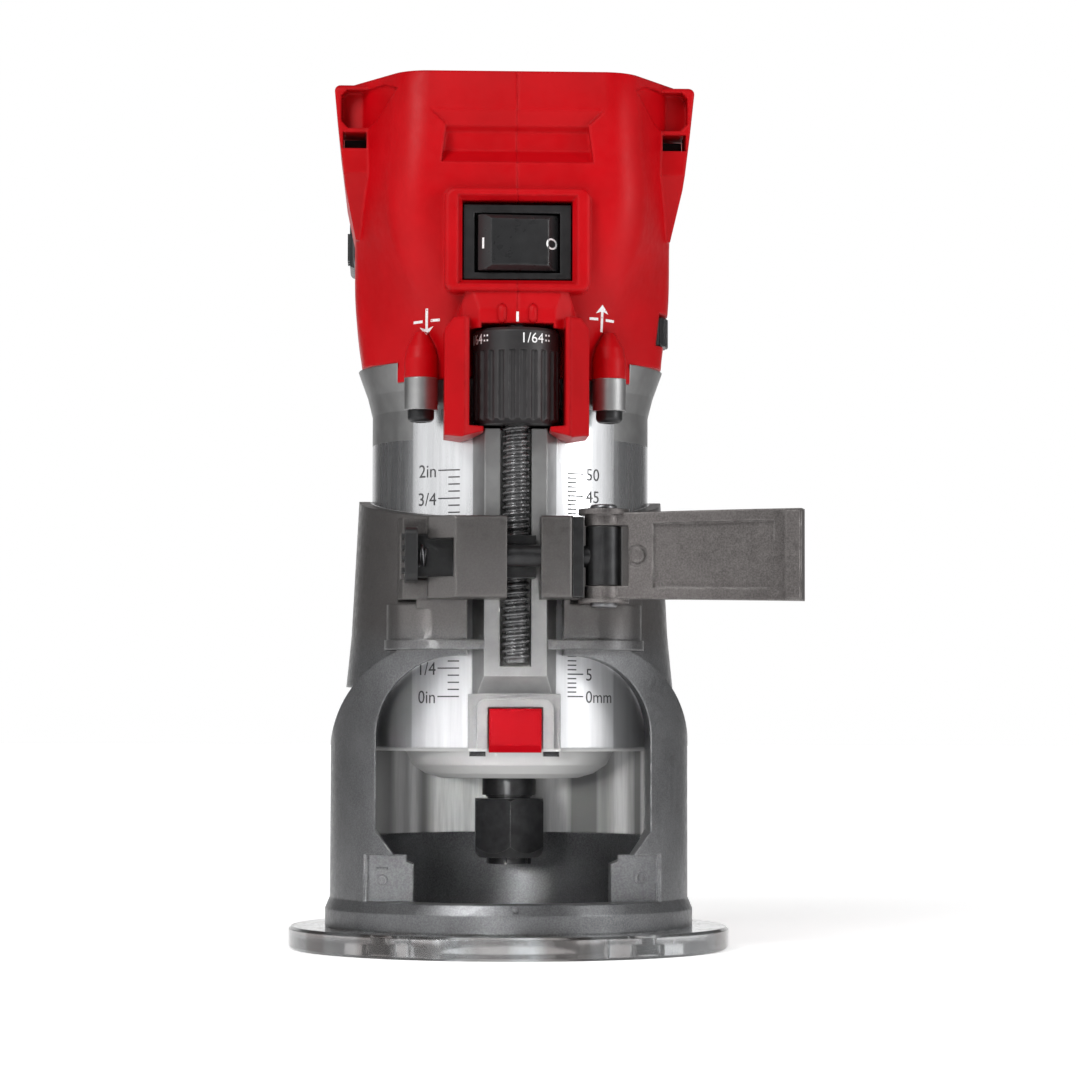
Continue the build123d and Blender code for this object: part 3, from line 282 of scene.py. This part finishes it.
def barrel_metal():
    """Bright turned barrel, with a bead-blasted rail, bosses, flare and nose, and its front flanks darkened by a
    painted reflection.
    """
    p = Paint("barrel", Metallic=1.0)
    p.rounded(0.4)
    side, y, z = p.calc("ABSOLUTE", p.axis("X")), p.axis("Y"), p.axis("Z")
    rail = p.calc("MULTIPLY", p.across(p.from_axis(), *RAIL_R), p.across(y, *RAIL_Y))
    flank = p.calc("MULTIPLY", p.across(side, *FLANK_X), p.across(y, *FRONT_Y))
    beside = p.calc("MAXIMUM", flank, p.across(y, *BACK_Y))
    band = p.calc("MULTIPLY", p.across(z, *COLLAR_BAND_Z), beside)
    nose, flare = p.across(z, *NOSE_Z), p.across(z, *FLARE_Z)
    matt = p.calc("MAXIMUM", p.calc("MAXIMUM", rail, band), p.calc("MAXIMUM", nose, flare))
    window = p.across(z, *WINDOW_Z)
    streak = p.noise(2.2, detail=4.0, stretch=(1.0, 1.0, 0.05))
    bright = p.blend(p.span(streak, 0.3, 0.7), rgb(204, 205, 207), rgb(226, 227, 229))
    # Painted reflection: the front flanks are darkened toward grey.
    bright = p.blend(p.calc("MULTIPLY", flank, 0.6), bright, rgb(140, 141, 143))
    blast = p.blend(p.span(p.noise(5.0, detail=4.0), 0.3, 0.7), rgb(150, 150, 150), rgb(166, 166, 166))
    blast = p.blend(p.calc("MULTIPLY", p.edges(5.0), 0.5), blast, rgb(215, 215, 215))
    colour = p.blend(p.calc("MULTIPLY", nose, 0.85), p.blend(matt, bright, blast), rgb(214, 214, 213))
    bare = p.calc("MULTIPLY", p.span(nose, 0.0, 1.0, 1.0, 0.5), p.span(window, 0.0, 1.0, 1.0, 0.6))
    p.feed(p.shader.inputs["Metallic"], bare)
    grain = p.calc("MULTIPLY", p.noise(0.25, detail=3.0, roughness=0.7), matt)
    tooled = p.calc("MULTIPLY", p.rings(0.16, wobble=0.1), p.calc("SUBTRACT", 1.0, matt))
    p.bump(tooled, 0.03, 0.005)
    p.bump(grain, 0.3, 0.04)
    smooth = p.calc("ADD", p.span(streak, 0.3, 0.7, 0.24, 0.30), p.calc("MULTIPLY", window, 0.14))
    return p.done(colour, p.calc("ADD", smooth, p.calc("MULTIPLY", matt, 0.18)))


def blackened(name, dark, light, roughness):
    """Black-oxide steel: even, faintly cloudy, polished at its corners."""
    p = Paint(name, Metallic=0.7)
    p.rounded(0.3)
    colour = p.blend(p.span(p.noise(2.5, detail=4.0), 0.3, 0.7), dark, light)
    corners = p.calc("MULTIPLY", p.edges(4.0), p.span(p.noise(1.2), 0.3, 0.6))
    colour = p.blend(corners, colour, rgb(112, 112, 112))
    p.bump(p.noise(0.22, detail=3.0), 0.15, 0.02)
    return p.done(colour, p.span(p.noise(1.5, detail=4.0), 0.3, 0.7, roughness - 0.05, roughness + 0.08))


def clear_plate():
    """Clear plastic, cloudy and lightly scuffed, with dark patches that are a painted reflection."""
    p = Paint("clear_plate", IOR=1.49, Transmission_Weight=0.92)
    p.rounded(0.3)
    haze = p.noise(6.0, detail=5.0)
    scuff = p.span(p.noise(0.8, detail=5.0, stretch=(1.0, 0.25, 1.0)), 0.55, 0.75)
    p.bump(p.noise(9.0, detail=2.0), 0.08, 0.1)
    # Painted reflection: dark patches across the plate.
    painted_reflection_patches = p.span(p.noise(15.0, detail=1.0, stretch=(1.0, 1.0, 0.01)), 0.44, 0.54)
    clear = p.blend(p.span(haze, 0.35, 0.65), rgb(206, 210, 213), rgb(232, 234, 235))
    colour = p.blend(painted_reflection_patches, rgb(138, 132, 130), clear)
    return p.done(colour, p.calc("ADD", p.span(haze, 0.3, 0.7, 0.05, 0.13), p.calc("MULTIPLY", scuff, 0.15)))


def laminated(name, dark, light, pitch):
    """Stacked or wound metal: bands across Z."""
    p = Paint(name, Metallic=0.85, Roughness=0.42)
    bands = p.rings(pitch, wobble=0.15)
    colour = p.blend(p.span(bands, 0.25, 0.75), dark, light)
    colour = p.blend(p.calc("MULTIPLY", p.noise(2.0, detail=4.0), 0.35), colour, dark)
    p.bump(bands, 0.6, 0.12)
    return p.done(colour)


def board():
    """Circuit board lacquer over faint tracks."""
    p = Paint("circuit_board", Coat_Weight=0.4)
    tracks = p.span(p.cells(3.2, stretch=(1.0, 1.0, 0.2)), 0.35, 0.42)
    colour = p.blend(tracks, rgb(18, 74, 46), rgb(30, 104, 62))
    colour = p.blend(p.span(p.noise(0.9, detail=2.0), 0.62, 0.66), colour, rgb(176, 168, 130))
    p.bump(tracks, 0.3, 0.05)
    return p.done(colour, p.span(p.noise(2.0), 0.3, 0.7, 0.3, 0.45))


def ink(name, dark, light, roughness):
    """Printed ink, a little uneven."""
    p = Paint(name)
    colour = p.blend(p.span(p.noise(0.5, detail=3.0), 0.35, 0.65), dark, light)
    p.bump(p.noise(0.15), 0.2, 0.01)
    return p.done(colour, p.span(p.noise(0.4), 0.3, 0.7, roughness - 0.05, roughness + 0.08))


FINISH = {
    "cast": cast_metal("cast", rgb(88, 89, 91), rgb(106, 107, 109), rgb(176, 176, 176), 0.36, 0.75,
                       bored=True),
    "lever": cast_metal("lever", rgb(84, 80, 79), rgb(98, 94, 93), rgb(168, 164, 162), 0.40, 0.7),
    "red": moulded("red", rgb(170, 0, 8), rgb(186, 1, 13), 0.42, edge=rgb(222, 30, 38), gloss=0.16, soft=1.0),
    "red_gloss": moulded("red_gloss", rgb(158, 0, 12), rgb(170, 0, 16), 0.40, grain=0.06, gloss=0.08),
    "black": moulded("black", rgb(26, 26, 27), rgb(36, 36, 37), 0.38, grain=0.25, edge=rgb(74, 74, 76)),
    "rocker": moulded("rocker", rgb(34, 34, 35), rgb(42, 42, 43), 0.30, grain=0.04, edge=rgb(96, 96, 98)),
    "knob": moulded("knob", rgb(34, 32, 33), rgb(44, 42, 43), 0.42, grain=0.25, edge=rgb(110, 108, 108)),
    "pack": moulded("pack", rgb(46, 47, 49), rgb(58, 59, 61), 0.48, grain=0.4, edge=rgb(96, 97, 99)),
    "fan": moulded("fan", rgb(70, 72, 74), rgb(92, 94, 96), 0.5, grain=0.2),
    "sleeve": moulded("sleeve", rgb(24, 78, 128), rgb(34, 96, 150), 0.3, grain=0.05),
    "lens": moulded("lens", rgb(18, 18, 20), rgb(40, 40, 44), 0.12, grain=0.03, coat=0.8),
    "barrel": barrel_metal(),
    "turned": machined("turned", rgb(170, 171, 173), rgb(214, 215, 217), 0.30),
    "steel": machined("steel", rgb(158, 158, 160), rgb(205, 205, 207), 0.26),
    "oxide": blackened("oxide", rgb(44, 44, 45), rgb(58, 58, 59), 0.34),
    "thread": blackened("thread", rgb(92, 92, 93), rgb(124, 124, 125), 0.22),
    "spring": machined("spring", rgb(92, 92, 94), rgb(132, 132, 134), 0.3),
    "bronze": machined("bronze", rgb(150, 112, 58), rgb(196, 152, 86), 0.34),
    "copper": laminated("copper", rgb(120, 58, 30), rgb(198, 112, 66), 0.55),
    "lamination": laminated("lamination", rgb(78, 80, 84), rgb(150, 152, 156), 0.5),
    "board": board(),
    "clear": clear_plate(),
    "ink_dark": ink("ink_dark", rgb(52, 52, 54), rgb(76, 76, 78), 0.55),
    "ink_white": ink("ink_white", rgb(222, 222, 222), rgb(244, 244, 244), 0.45),
}

NODE_FINISH = {
    "cast": ["base_casting"],
    "lever": ["clamp_lever"],
    "red": ["housing_left", "housing_right"],
    "red_gloss": ["lock_button"],
    "black": ["switch_frame", "macro_button", "speed_dial", "dial_pot", "terminal_block",
              "latch_left", "latch_right"],
    "rocker": ["rocker"],
    "knob": ["adjust_knob"],
    "pack": ["battery_case_lower", "battery_case_upper"],
    "fan": ["cooling_fan"],
    "sleeve": ["battery_cells"],
    "lens": ["led_lenses"],
    "barrel": ["motor_barrel"],
    "turned": ["heat_sink", "bearing_bracket"],
    "steel": ["lock_pin", "screw_clip", "lower_bearing", "upper_bearing"],
    "spring": ["lever_pin"],
    "oxide": ["spindle", "collet", "collet_nut", "clamp_bolt", "thrust_washer", "half_nut", "lead_screw",
              "barrel_screws", "sub_base_screws", "housing_screws", "macro_spring", "lock_spring"],
    "bronze": ["screw_bushing", "battery_terminals"],
    "copper": ["stator_windings"],
    "lamination": ["stator_core", "rotor_core", "rotor_magnets"],
    "board": ["control_board", "battery_board"],
    "clear": ["sub_base"],
}

for finish, names in NODE_FINISH.items():
    for name in names:
        mesh = NODES[name].data
        mesh.materials.clear()
        mesh.materials.append(FINISH[finish])


# --- mesh helpers ---
def added(name, data):
    """New object in the scene."""
    obj = bpy.data.objects.new(name, data)
    bpy.context.scene.collection.objects.link(obj)
    return obj


def piece(name, mesh, finish, body, smooth_below=None):
    """Put a finished mesh on a body. Faces meeting under smooth_below degrees shade smoothly."""
    mesh.materials.clear()
    mesh.materials.append(FINISH[finish])
    obj = added(name, mesh)
    if smooth_below:
        mesh.shade_smooth()
        mesh.set_sharp_from_angle(angle=math.radians(smooth_below))
    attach(obj, body)
    return obj


def mesh_of(name, verts, faces):
    """Closed mesh in metres from points in millimetres."""
    mesh = bpy.data.meshes.new(name)
    mesh.from_pydata([to_m(v) for v in verts], [], faces)
    bm = bmesh.new()
    bm.from_mesh(mesh)
    bmesh.ops.remove_doubles(bm, verts=bm.verts, dist=1e-7)
    bmesh.ops.recalc_face_normals(bm, faces=bm.faces)
    bm.to_mesh(mesh)
    bm.free()
    return mesh


def joined(name, parts):
    """One mesh from several (verts, faces) lists."""
    verts, faces = [], []
    for part_verts, part_faces in parts:
        start = len(verts)
        verts += part_verts
        faces += [[i + start for i in face] for face in part_faces]
    return mesh_of(name, verts, faces)


def slab(outline, depth=INK_DEPTH):
    """Flat outline of (u, v) points as a thin plate from w = -depth to 0."""
    n = len(outline)
    verts = [(u, v, 0.0) for u, v in outline] + [(u, v, -depth) for u, v in outline]
    faces = [list(range(n)), list(range(2 * n - 1, n - 1, -1))]
    faces += [[i, i + n, (i + 1) % n + n, (i + 1) % n] for i in range(n)]
    return verts, faces


def bar(u0, u1, v0, v1, depth=INK_DEPTH):
    return slab([(u0, v0), (u1, v0), (u1, v1), (u0, v1)], depth)


def ring(u, v, outer, inner, depth=INK_DEPTH):
    """Flat ring round (u, v), as one closed band."""
    verts, faces, count = [], [], 28
    for k in range(count):
        c, s = math.cos(math.tau * k / count), math.sin(math.tau * k / count)
        for r, w in ((outer, 0.0), (inner, 0.0), (inner, -depth), (outer, -depth)):
            verts.append((u + r * c, v + r * s, w))
    for k in range(count):
        a, b = 4 * k, 4 * ((k + 1) % count)
        faces += [[a + i, b + i, b + (i + 1) % 4, a + (i + 1) % 4] for i in range(4)]
    return verts, faces


def words(text, u, v, height, align="CENTER"):
    """Numerals as solid letters, placed by their middle height."""
    font_size_per_height = 1.38
    curve = bpy.data.curves.new("numerals", "FONT")
    curve.body = text
    curve.size = height * font_size_per_height
    curve.align_x = align
    curve.extrude = INK_DEPTH / 2
    curve.resolution_u = 4
    holder = added("numerals", curve)
    bpy.context.view_layer.update()
    mesh = bpy.data.meshes.new_from_object(holder.evaluated_get(bpy.context.evaluated_depsgraph_get()))
    verts = [(u + p.co.x, v + p.co.y - height / 2, p.co.z - INK_DEPTH / 2) for p in mesh.vertices]
    faces = [list(f.vertices) for f in mesh.polygons]
    bpy.data.objects.remove(holder)
    bpy.data.curves.remove(curve)
    bpy.data.meshes.remove(mesh)
    return verts, faces


def diced(part, step=0.5):
    """Cut a flat part finely enough to follow a curved surface."""
    off_corners = 0.011
    verts, faces = part
    bm = bmesh.new()
    points = [bm.verts.new(v) for v in verts]
    for face in faces:
        bm.faces.new([points[i] for i in face])
    for axis in (0, 1):
        low = min(v[axis] for v in verts)
        high = max(v[axis] for v in verts)
        for k in range(1, int((high - low) / step) + 1):
            normal = [0.0, 0.0, 0.0]
            normal[axis] = 1.0
            spot = [0.0, 0.0, 0.0]
            spot[axis] = low + k * step + off_corners
            geometry = list(bm.verts) + list(bm.edges) + list(bm.faces)
            bmesh.ops.bisect_plane(bm, geom=geometry, plane_co=spot, plane_no=normal)
    bm.verts.index_update()
    result = [tuple(v.co) for v in bm.verts], [[v.index for v in f.verts] for f in bm.faces]
    bm.free()
    return result


def rolled(part, radius, centre_y=0.0, turn=0.0):
    """Wrap a (u, v, w) part on an upright cylinder: u along the rim from the front, v up, w outward."""
    verts, faces = diced(part, 0.8)
    out = []
    for u, v, w in verts:
        a, r = u / radius + turn, radius + INK_PROUD + w
        out.append((r * math.sin(a), centre_y - r * math.cos(a), v))
    return out, faces


def placed(part, matrix):
    """A part's points moved by a matrix."""
    verts, faces = part
    return [tuple(matrix @ Vector(v)) for v in verts], faces


def tube_faces(rows, wide):
    """Side and end faces of rows of points, each row a closed ring of wide points."""
    faces = []
    for start in range(0, (rows - 1) * wide, wide):
        for k in range(wide):
            a, b = start + k, start + (k + 1) % wide
            faces.append([a, b, b + wide, a + wide])
    last = (rows - 1) * wide
    return faces + [list(range(wide)), [last + k for k in reversed(range(wide))]]


def coil(radius, wire, turns, length):
    """Closed round-wire helix along +Z from z = 0, its ends squared off."""
    sides, steps, verts = 8, 22, []
    rows = int(turns * steps) + 1
    for i in range(rows):
        a = math.tau * i / steps
        z = wire + (length - 2 * wire) * i / (rows - 1)
        out, up = Vector((math.cos(a), math.sin(a), 0)), Vector((0, 0, 1))
        centre = out * radius + up * z
        for k in range(sides):
            b = math.tau * k / sides
            verts.append(tuple(centre + out * wire * math.cos(b) + up * wire * math.sin(b)))
    return verts, tube_faces(rows, sides)


# --- printed scales ---
def inch_scale():
    """Two inches in sixteenths on the left of the rail, read upward."""
    zero, inch, tick_u, half_line = 57.63, 25.4, -12.6, 0.15
    parts = []
    for k in range(33):
        z = zero + k * inch / 16
        reach = 5.4 if k % 4 == 0 else 2.8
        parts.append(bar(tick_u - reach, tick_u, z - half_line, z + half_line))
    for k, text in ((0, "0in"), (4, "1/4"), (8, "1/2"), (12, "3/4"), (16, "1in"),
                    (20, "1/4"), (24, "1/2"), (28, "3/4"), (32, "2in")):
        parts.append(words(text, -18.4, zero + k * inch / 16, 3.0, "RIGHT"))
    return parts


def millimetre_scale():
    """Fifty millimetres on the right of the rail."""
    zero, tick_u, half_line = 57.7, 12.3, 0.15
    parts = []
    for k in range(51):
        reach = 4.0 if k % 5 == 0 else 2.2
        parts.append(bar(tick_u, tick_u + reach, zero + k - half_line, zero + k + half_line))
    for k in range(0, 51, 5):
        text = "0mm" if k == 0 else str(k)
        parts.append(words(text, 16.9, zero + k, 2.8, "LEFT"))
    return parts


for name, parts in (("scale_inch", inch_scale()), ("scale_millimetre", millimetre_scale())):
    wrapped = [rolled(part, BARREL_R) for part in parts]
    piece(name, joined(name, wrapped), "ink_dark", "motor")


def knob_scale():
    """Fraction and dots every quarter turn on the knob's band."""
    parts = []
    for quarter in range(4):
        turn = math.radians(90 * quarter + 20)
        parts.append(rolled(words("1/64", 0, 136.4, 2.3), KNOB_R, KNOB_Y, turn))
        for u in (3.3, 4.2):
            for v in (135.9, 137.0):
                parts.append(rolled(bar(u, u + 0.4, v - 0.2, v + 0.2), KNOB_R, KNOB_Y, turn))
    return joined("knob_scale", parts)


piece("knob_scale", knob_scale(), "ink_white", "knob")


# --- lead screw, springs ---
def thread():
    """Lead screw with its real helical thread, inside its CAD crest size."""
    crest, root, journal = 3.1, 2.45, 2.5
    foot, thread_top, shank_top, end = 65.0, 117.6, 139.3, 147.0
    tip, undercut, lead_in = root - 0.9, root - 0.2, 1.2
    around, per_turn = 40, 10
    rows = int((thread_top - foot) / THREAD_PITCH * per_turn)
    verts = []

    def add_ring(radius_at, z):
        for j in range(around):
            a, radius = math.tau * j / around, radius_at(j)
            verts.append((radius * math.cos(a), KNOB_Y + radius * math.sin(a), z))

    def helix(z, j):
        phase = (z / THREAD_PITCH - j / around) % 1.0
        rise = min(max(abs(phase - 0.5) * 4.4 - 0.6, 0.0), 1.0)
        return root + (crest - root) * rise

    add_ring(lambda j: tip, foot)
    for k in range(rows + 1):
        z = foot + (thread_top - foot) * k / rows
        share = min(1.0, (z - foot) / lead_in)
        add_ring(lambda j: undercut + (helix(z, j) - undercut) * share, z)
    for radius, z in ((crest, thread_top), (crest, shank_top), (journal, shank_top), (journal, end)):
        add_ring(lambda j: radius, z)
    return mesh_of("lead_screw_thread", verts, tube_faces(len(verts) // around, around))


screw = piece("lead_screw_thread", thread(), "thread", "knob", smooth_below=50)
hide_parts("lead_screw")


def spring_piece(name, node, body, radius, wire, turns, axis):
    """Coil spring in the box of its CAD envelope."""
    low, high = (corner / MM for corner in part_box(node))
    size = high - low
    middle = (low + high) / 2
    if abs(axis.x) > 0.5:
        turn, length = Matrix.Rotation(math.radians(90), 4, "Y"), size.x
        start = Vector((low.x, middle.y, middle.z))
    else:
        turn, length = Matrix.Rotation(math.radians(-90), 4, "X"), size.y
        start = Vector((middle.x, low.y, middle.z))
    shape = placed(coil(radius, wire, turns, length), Matrix.Translation(start) @ turn)
    spring = piece(name, mesh_of(name, *shape), "spring", body, smooth_below=60)
    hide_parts(node)
    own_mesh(spring)


spring_piece("macro_coil", "macro_spring", "base", 2.3, 0.25, 1.4, Vector((1, 0, 0)))
spring_piece("lock_coil", "lock_spring", "motor", 2.5, 0.3, 5.0, Vector((0, 1, 0)))


# --- marks, ribs, painted-shade blocks behind the vents ---
def arrow_icon(upward):
    """Arrow crossing a short line: raise or lower."""
    s = 1 if upward else -1
    head = [(-1.5, 1.2 * s), (0.0, 3.1 * s), (1.5, 1.2 * s), (0.35, 1.6 * s), (-0.35, 1.6 * s)]
    return [
        slab(head if upward else head[::-1]),
        bar(-0.28, 0.28, -2.6, 2.6),
        bar(-2.9, -0.9, -0.28, 0.28),
        bar(0.9, 2.9, -0.28, 0.28),
    ]


def laid_on(part, nodes, x, z):
    """Drop a flat part on to the front of the CAD surface behind (x, z), following its shape."""
    verts, faces = part
    out = []
    for u, v, w in verts:
        start = to_m((x + u, -90.0, z + v))
        hits = [NODES[n].ray_cast(start, Vector((0, 1, 0))) for n in nodes]
        y = min(hit[1].y for hit in hits if hit[0]) / MM
        out.append((x + u, y - INK_PROUD - w, z + v))
    return out, faces


SHELL = ("housing_left", "housing_right")
ARROWS = ((-19.9, 141.4, False), (19.3, 141.9, True))
marks = [laid_on(diced(part), SHELL, x, z) for x, z, upward in ARROWS for part in arrow_icon(upward)]
marks.append(laid_on(diced(bar(-0.28, 0.28, -1.1, 1.1)), SHELL, 0.0, 141.2))
piece("shell_marks", joined("shell_marks", marks), "ink_white", "motor")


def rib(x, z0, z1, radius):
    """Half-round rib standing on the shelf over the knob, with domed ends."""
    shelf_y, flatness, steps, verts = -45.0, 0.8, 10, []
    levels = [(z0, 0.15), (z0 + 0.5, 0.75), (z0 + 1.1, 1.0), (z1 - 1.1, 1.0), (z1 - 0.5, 0.75), (z1, 0.15)]
    for z, share in levels:
        for k in range(steps + 1):
            a = math.pi * k / steps
            verts.append((x - radius * share * math.cos(a), shelf_y - radius * flatness * share * math.sin(a), z))
    return verts, tube_faces(len(levels), steps + 1)


ribs = joined("knob_ribs", [rib(x, 139.6, 144.2, 1.1) for x in (-3.4, 3.4)])
piece("knob_ribs", ribs, "red", "motor", smooth_below=50)


def raised(part, lift):
    """Lift a flat part off its surface, its back still buried."""
    verts, faces = part
    return [(u, v, w + lift if w == 0.0 else w) for u, v, w in verts], faces


def cast_marks():
    """Plain foundry marks on the two corner bosses, and the sight dot on the foot ring."""
    proud, deep, dot_r = 0.45, 0.4, 0.75
    dot = [(dot_r * math.cos(math.tau * k / 16), dot_r * math.sin(math.tau * k / 16)) for k in range(16)]
    spots = [
        (ring(0, 0, 1.5, 0.95, deep), 29.0, 17.0),
        (bar(-0.35, 0.35, -1.0, 1.0, deep), 29.0, 17.0),
        (bar(-1.4, 1.4, -0.35, 0.35, deep), -29.3, 19.0),
        (ring(0, 0, 1.4, 0.8, deep), -29.3, 16.4),
        (slab(dot, deep), 0.0, 10.9),
    ]
    laid = [laid_on(raised(part, proud), ("base_casting",), x, z) for part, x, z in spots]
    return joined("cast_marks", laid)


piece("cast_marks", cast_marks(), "cast", "base")


def switch_marks():
    """I and O on the two ends of the rocker's face."""
    rocker_z = 157.6
    letters = ((-7.6, bar(-0.22, 0.22, -1.2, 1.2)), (7.6, ring(0, 0, 1.25, 0.85)))
    return joined("switch_marks", [laid_on(part, ("rocker",), u, rocker_z) for u, part in letters])


piece("switch_marks", switch_marks(), "ink_white", "rocker")


def block(x0, x1, y0, y1, z0, z1):
    """Upright box as (verts, faces)."""
    verts, faces = bar(x0, x1, y0, y1, z1 - z0)
    return [(x, y, w + z1) for x, y, w in verts], faces


def vent_screens():
    """Dark ribbed blocks inside the head behind the side vents, and a wall behind each corner notch: painted
    shade where the hollow head would show through.
    """
    sheet_x, ribs_x, wall_x = (33.8, 34.4), (34.3, 35.0), (33.8, 38.7)
    ribs_y, rib_step, rib_count = -11.0, 2.4, 11
    parts = []
    for side in (-1, 1):
        inner, outer = sorted(side * x for x in sheet_x)
        parts.append(block(inner, outer, -11.5, 14.0, 178.5, 193.6))
        inner, outer = sorted(side * x for x in ribs_x)
        for k in range(rib_count):
            y = ribs_y + rib_step * k
            parts.append(block(inner, outer, y, y + 1.0, 179.0, 193.0))
        inner, outer = sorted(side * x for x in wall_x)
        parts.append(block(inner, outer, -14.8, -14.0, 181.8, 185.1))
    return joined("vent_screens", parts)


# Painted shade: black blocks stand in for the shaded inside of the head.
piece("vent_screens", vent_screens(), "black", "motor")


# --- stage, light, camera ---
def floor():
    """Wide pale disc under the object, glowing more with distance so that no horizon shows."""
    radius, count, level = 9000.0, 96, -0.05
    verts = [(0, 0, level)]
    verts += [(radius * math.cos(math.tau * k / count), radius * math.sin(math.tau * k / count), level)
              for k in range(count)]
    faces = [[0, k + 1, (k + 1) % count + 1] for k in range(count)]
    p = Paint("floor")
    colour = p.blend(p.span(p.noise(400.0, detail=2.0), 0.3, 0.7), rgb(240, 240, 240), rgb(246, 246, 246))
    mesh = mesh_of("floor", verts, faces)
    p.feed(p.shader.inputs["Emission Color"], (1.0, 1.0, 1.0, 1.0))
    p.feed(p.shader.inputs["Emission Strength"], p.span(p.from_axis(), 250 * MM, 1600 * MM, 0.60, 0.90))
    mesh.materials.append(p.done(colour, p.span(p.noise(60.0), 0.3, 0.7, 0.65, 0.75)))
    added("floor", mesh)


def softbox(name, place, target, size, power, spread=180):
    """Rectangular light that the camera doesn't see. A small spread makes it a beam."""
    light = bpy.data.lights.new(name, "AREA")
    light.shape = "RECTANGLE"
    light.size, light.size_y = size[0] * MM, size[1] * MM
    light.energy = power
    light.spread = math.radians(spread)
    obj = added(name, light)
    obj.location = to_m(place)
    obj.rotation_euler = (to_m(target) - obj.location).to_track_quat("-Z", "Y").to_euler()
    obj.visible_camera = False


def world(horizon, overhead):
    """Even white light near the horizon, dimmer overhead."""
    horizon_top, overhead_from = 0.24, 0.42
    sky = bpy.data.worlds.new("studio")
    sky.use_nodes = True
    nodes, links = sky.node_tree.nodes, sky.node_tree.links
    split = nodes.new("ShaderNodeSeparateXYZ")
    links.new(nodes.new("ShaderNodeTexCoord").outputs["Generated"], split.inputs[0])
    height = nodes.new("ShaderNodeMapRange")
    height.interpolation_type = "SMOOTHSTEP"
    values = (horizon_top, overhead_from, horizon, overhead)
    for name, number in zip(("From Min", "From Max", "To Min", "To Max"), values):
        height.inputs[name].default_value = number
    links.new(split.outputs["Z"], height.inputs["Value"])
    links.new(height.outputs["Result"], nodes["Background"].inputs["Strength"])
    nodes["Background"].inputs["Color"].default_value = (1.0, 1.0, 1.0, 1.0)
    bpy.context.scene.world = sky


def sun(strength, toward, spread):
    """Very soft, even light from one direction, so the whole floor is lit alike."""
    light = bpy.data.lights.new("daylight", "SUN")
    light.energy = strength
    light.angle = math.radians(spread)
    added("daylight", light).rotation_euler = (-Vector(toward)).to_track_quat("-Z", "Y").to_euler()


def card(name, place, size, shade):
    """Studio card that metal reflects. It isn't seen by the camera and casts no shadow."""
    thickness = 2.0
    w, h = size[0] / 2, size[1] / 2
    mesh = mesh_of(name, *bar(-w, w, -h, h, thickness))
    mesh.materials.append(Paint(name, Roughness=0.9).done(shade))
    obj = added(name, mesh)
    obj.location = to_m(place)
    obj.rotation_euler = (to_m((0, 0, place[2])) - obj.location).to_track_quat("Z", "Y").to_euler()
    obj.visible_camera = False
    obj.visible_shadow = False


def camera():
    """Long lens, a little under a metre away and level with the clamp."""
    distance, height, focal, sensor = 811.0, 50.8, 116.5, 36.0
    azimuth, pitch, roll = math.radians(-1.964), math.radians(3.079), math.radians(0.148)
    off_centre_px, focal_px = 29.7, 3492
    spot = Vector((distance * math.sin(azimuth), -distance * math.cos(azimuth), height))
    heading = math.atan2(-spot.y, -spot.x) - math.atan(off_centre_px / focal_px)
    ahead = Vector((math.cos(heading) * math.cos(pitch), math.sin(heading) * math.cos(pitch), math.sin(pitch)))
    right = ahead.cross(Vector((0, 0, 1))).normalized()
    up = right.cross(ahead)
    c, s = math.cos(roll), math.sin(roll)
    right, up = right * c + up * s, up * c - right * s
    data = bpy.data.cameras.new("camera")
    data.lens = focal
    data.sensor_width = sensor
    data.clip_start, data.clip_end = 0.01, 50.0
    obj = added("camera", data)
    obj.matrix_world = Matrix.Translation(spot * MM) @ Matrix((right, up, -ahead)).transposed().to_4x4()
    bpy.context.scene.camera = obj


floor()
world(horizon=1.0, overhead=0.14)
sun(strength=0.8, toward=(-0.35, -0.75, 1.0), spread=25)
softbox("key", (-420, -620, 560), (0, 0, 110), (260, 260), power=2.8)
softbox("edge", (620, -420, 300), (0, 0, 90), (160, 420), power=1.6)
softbox("window", (-130, -560, 75), (0, 0, 38), (80, 50), power=0.007, spread=9)
card("flag_front", (0, -1300, 260), (1500, 560), rgb(45, 45, 45))
for name, x in (("flag_left", -300), ("flag_right", 300)):
    card(name, (x, 160, 150), (420, 460), rgb(118, 118, 118))
camera()
bpy.context.scene.view_settings.view_transform = "Standard"
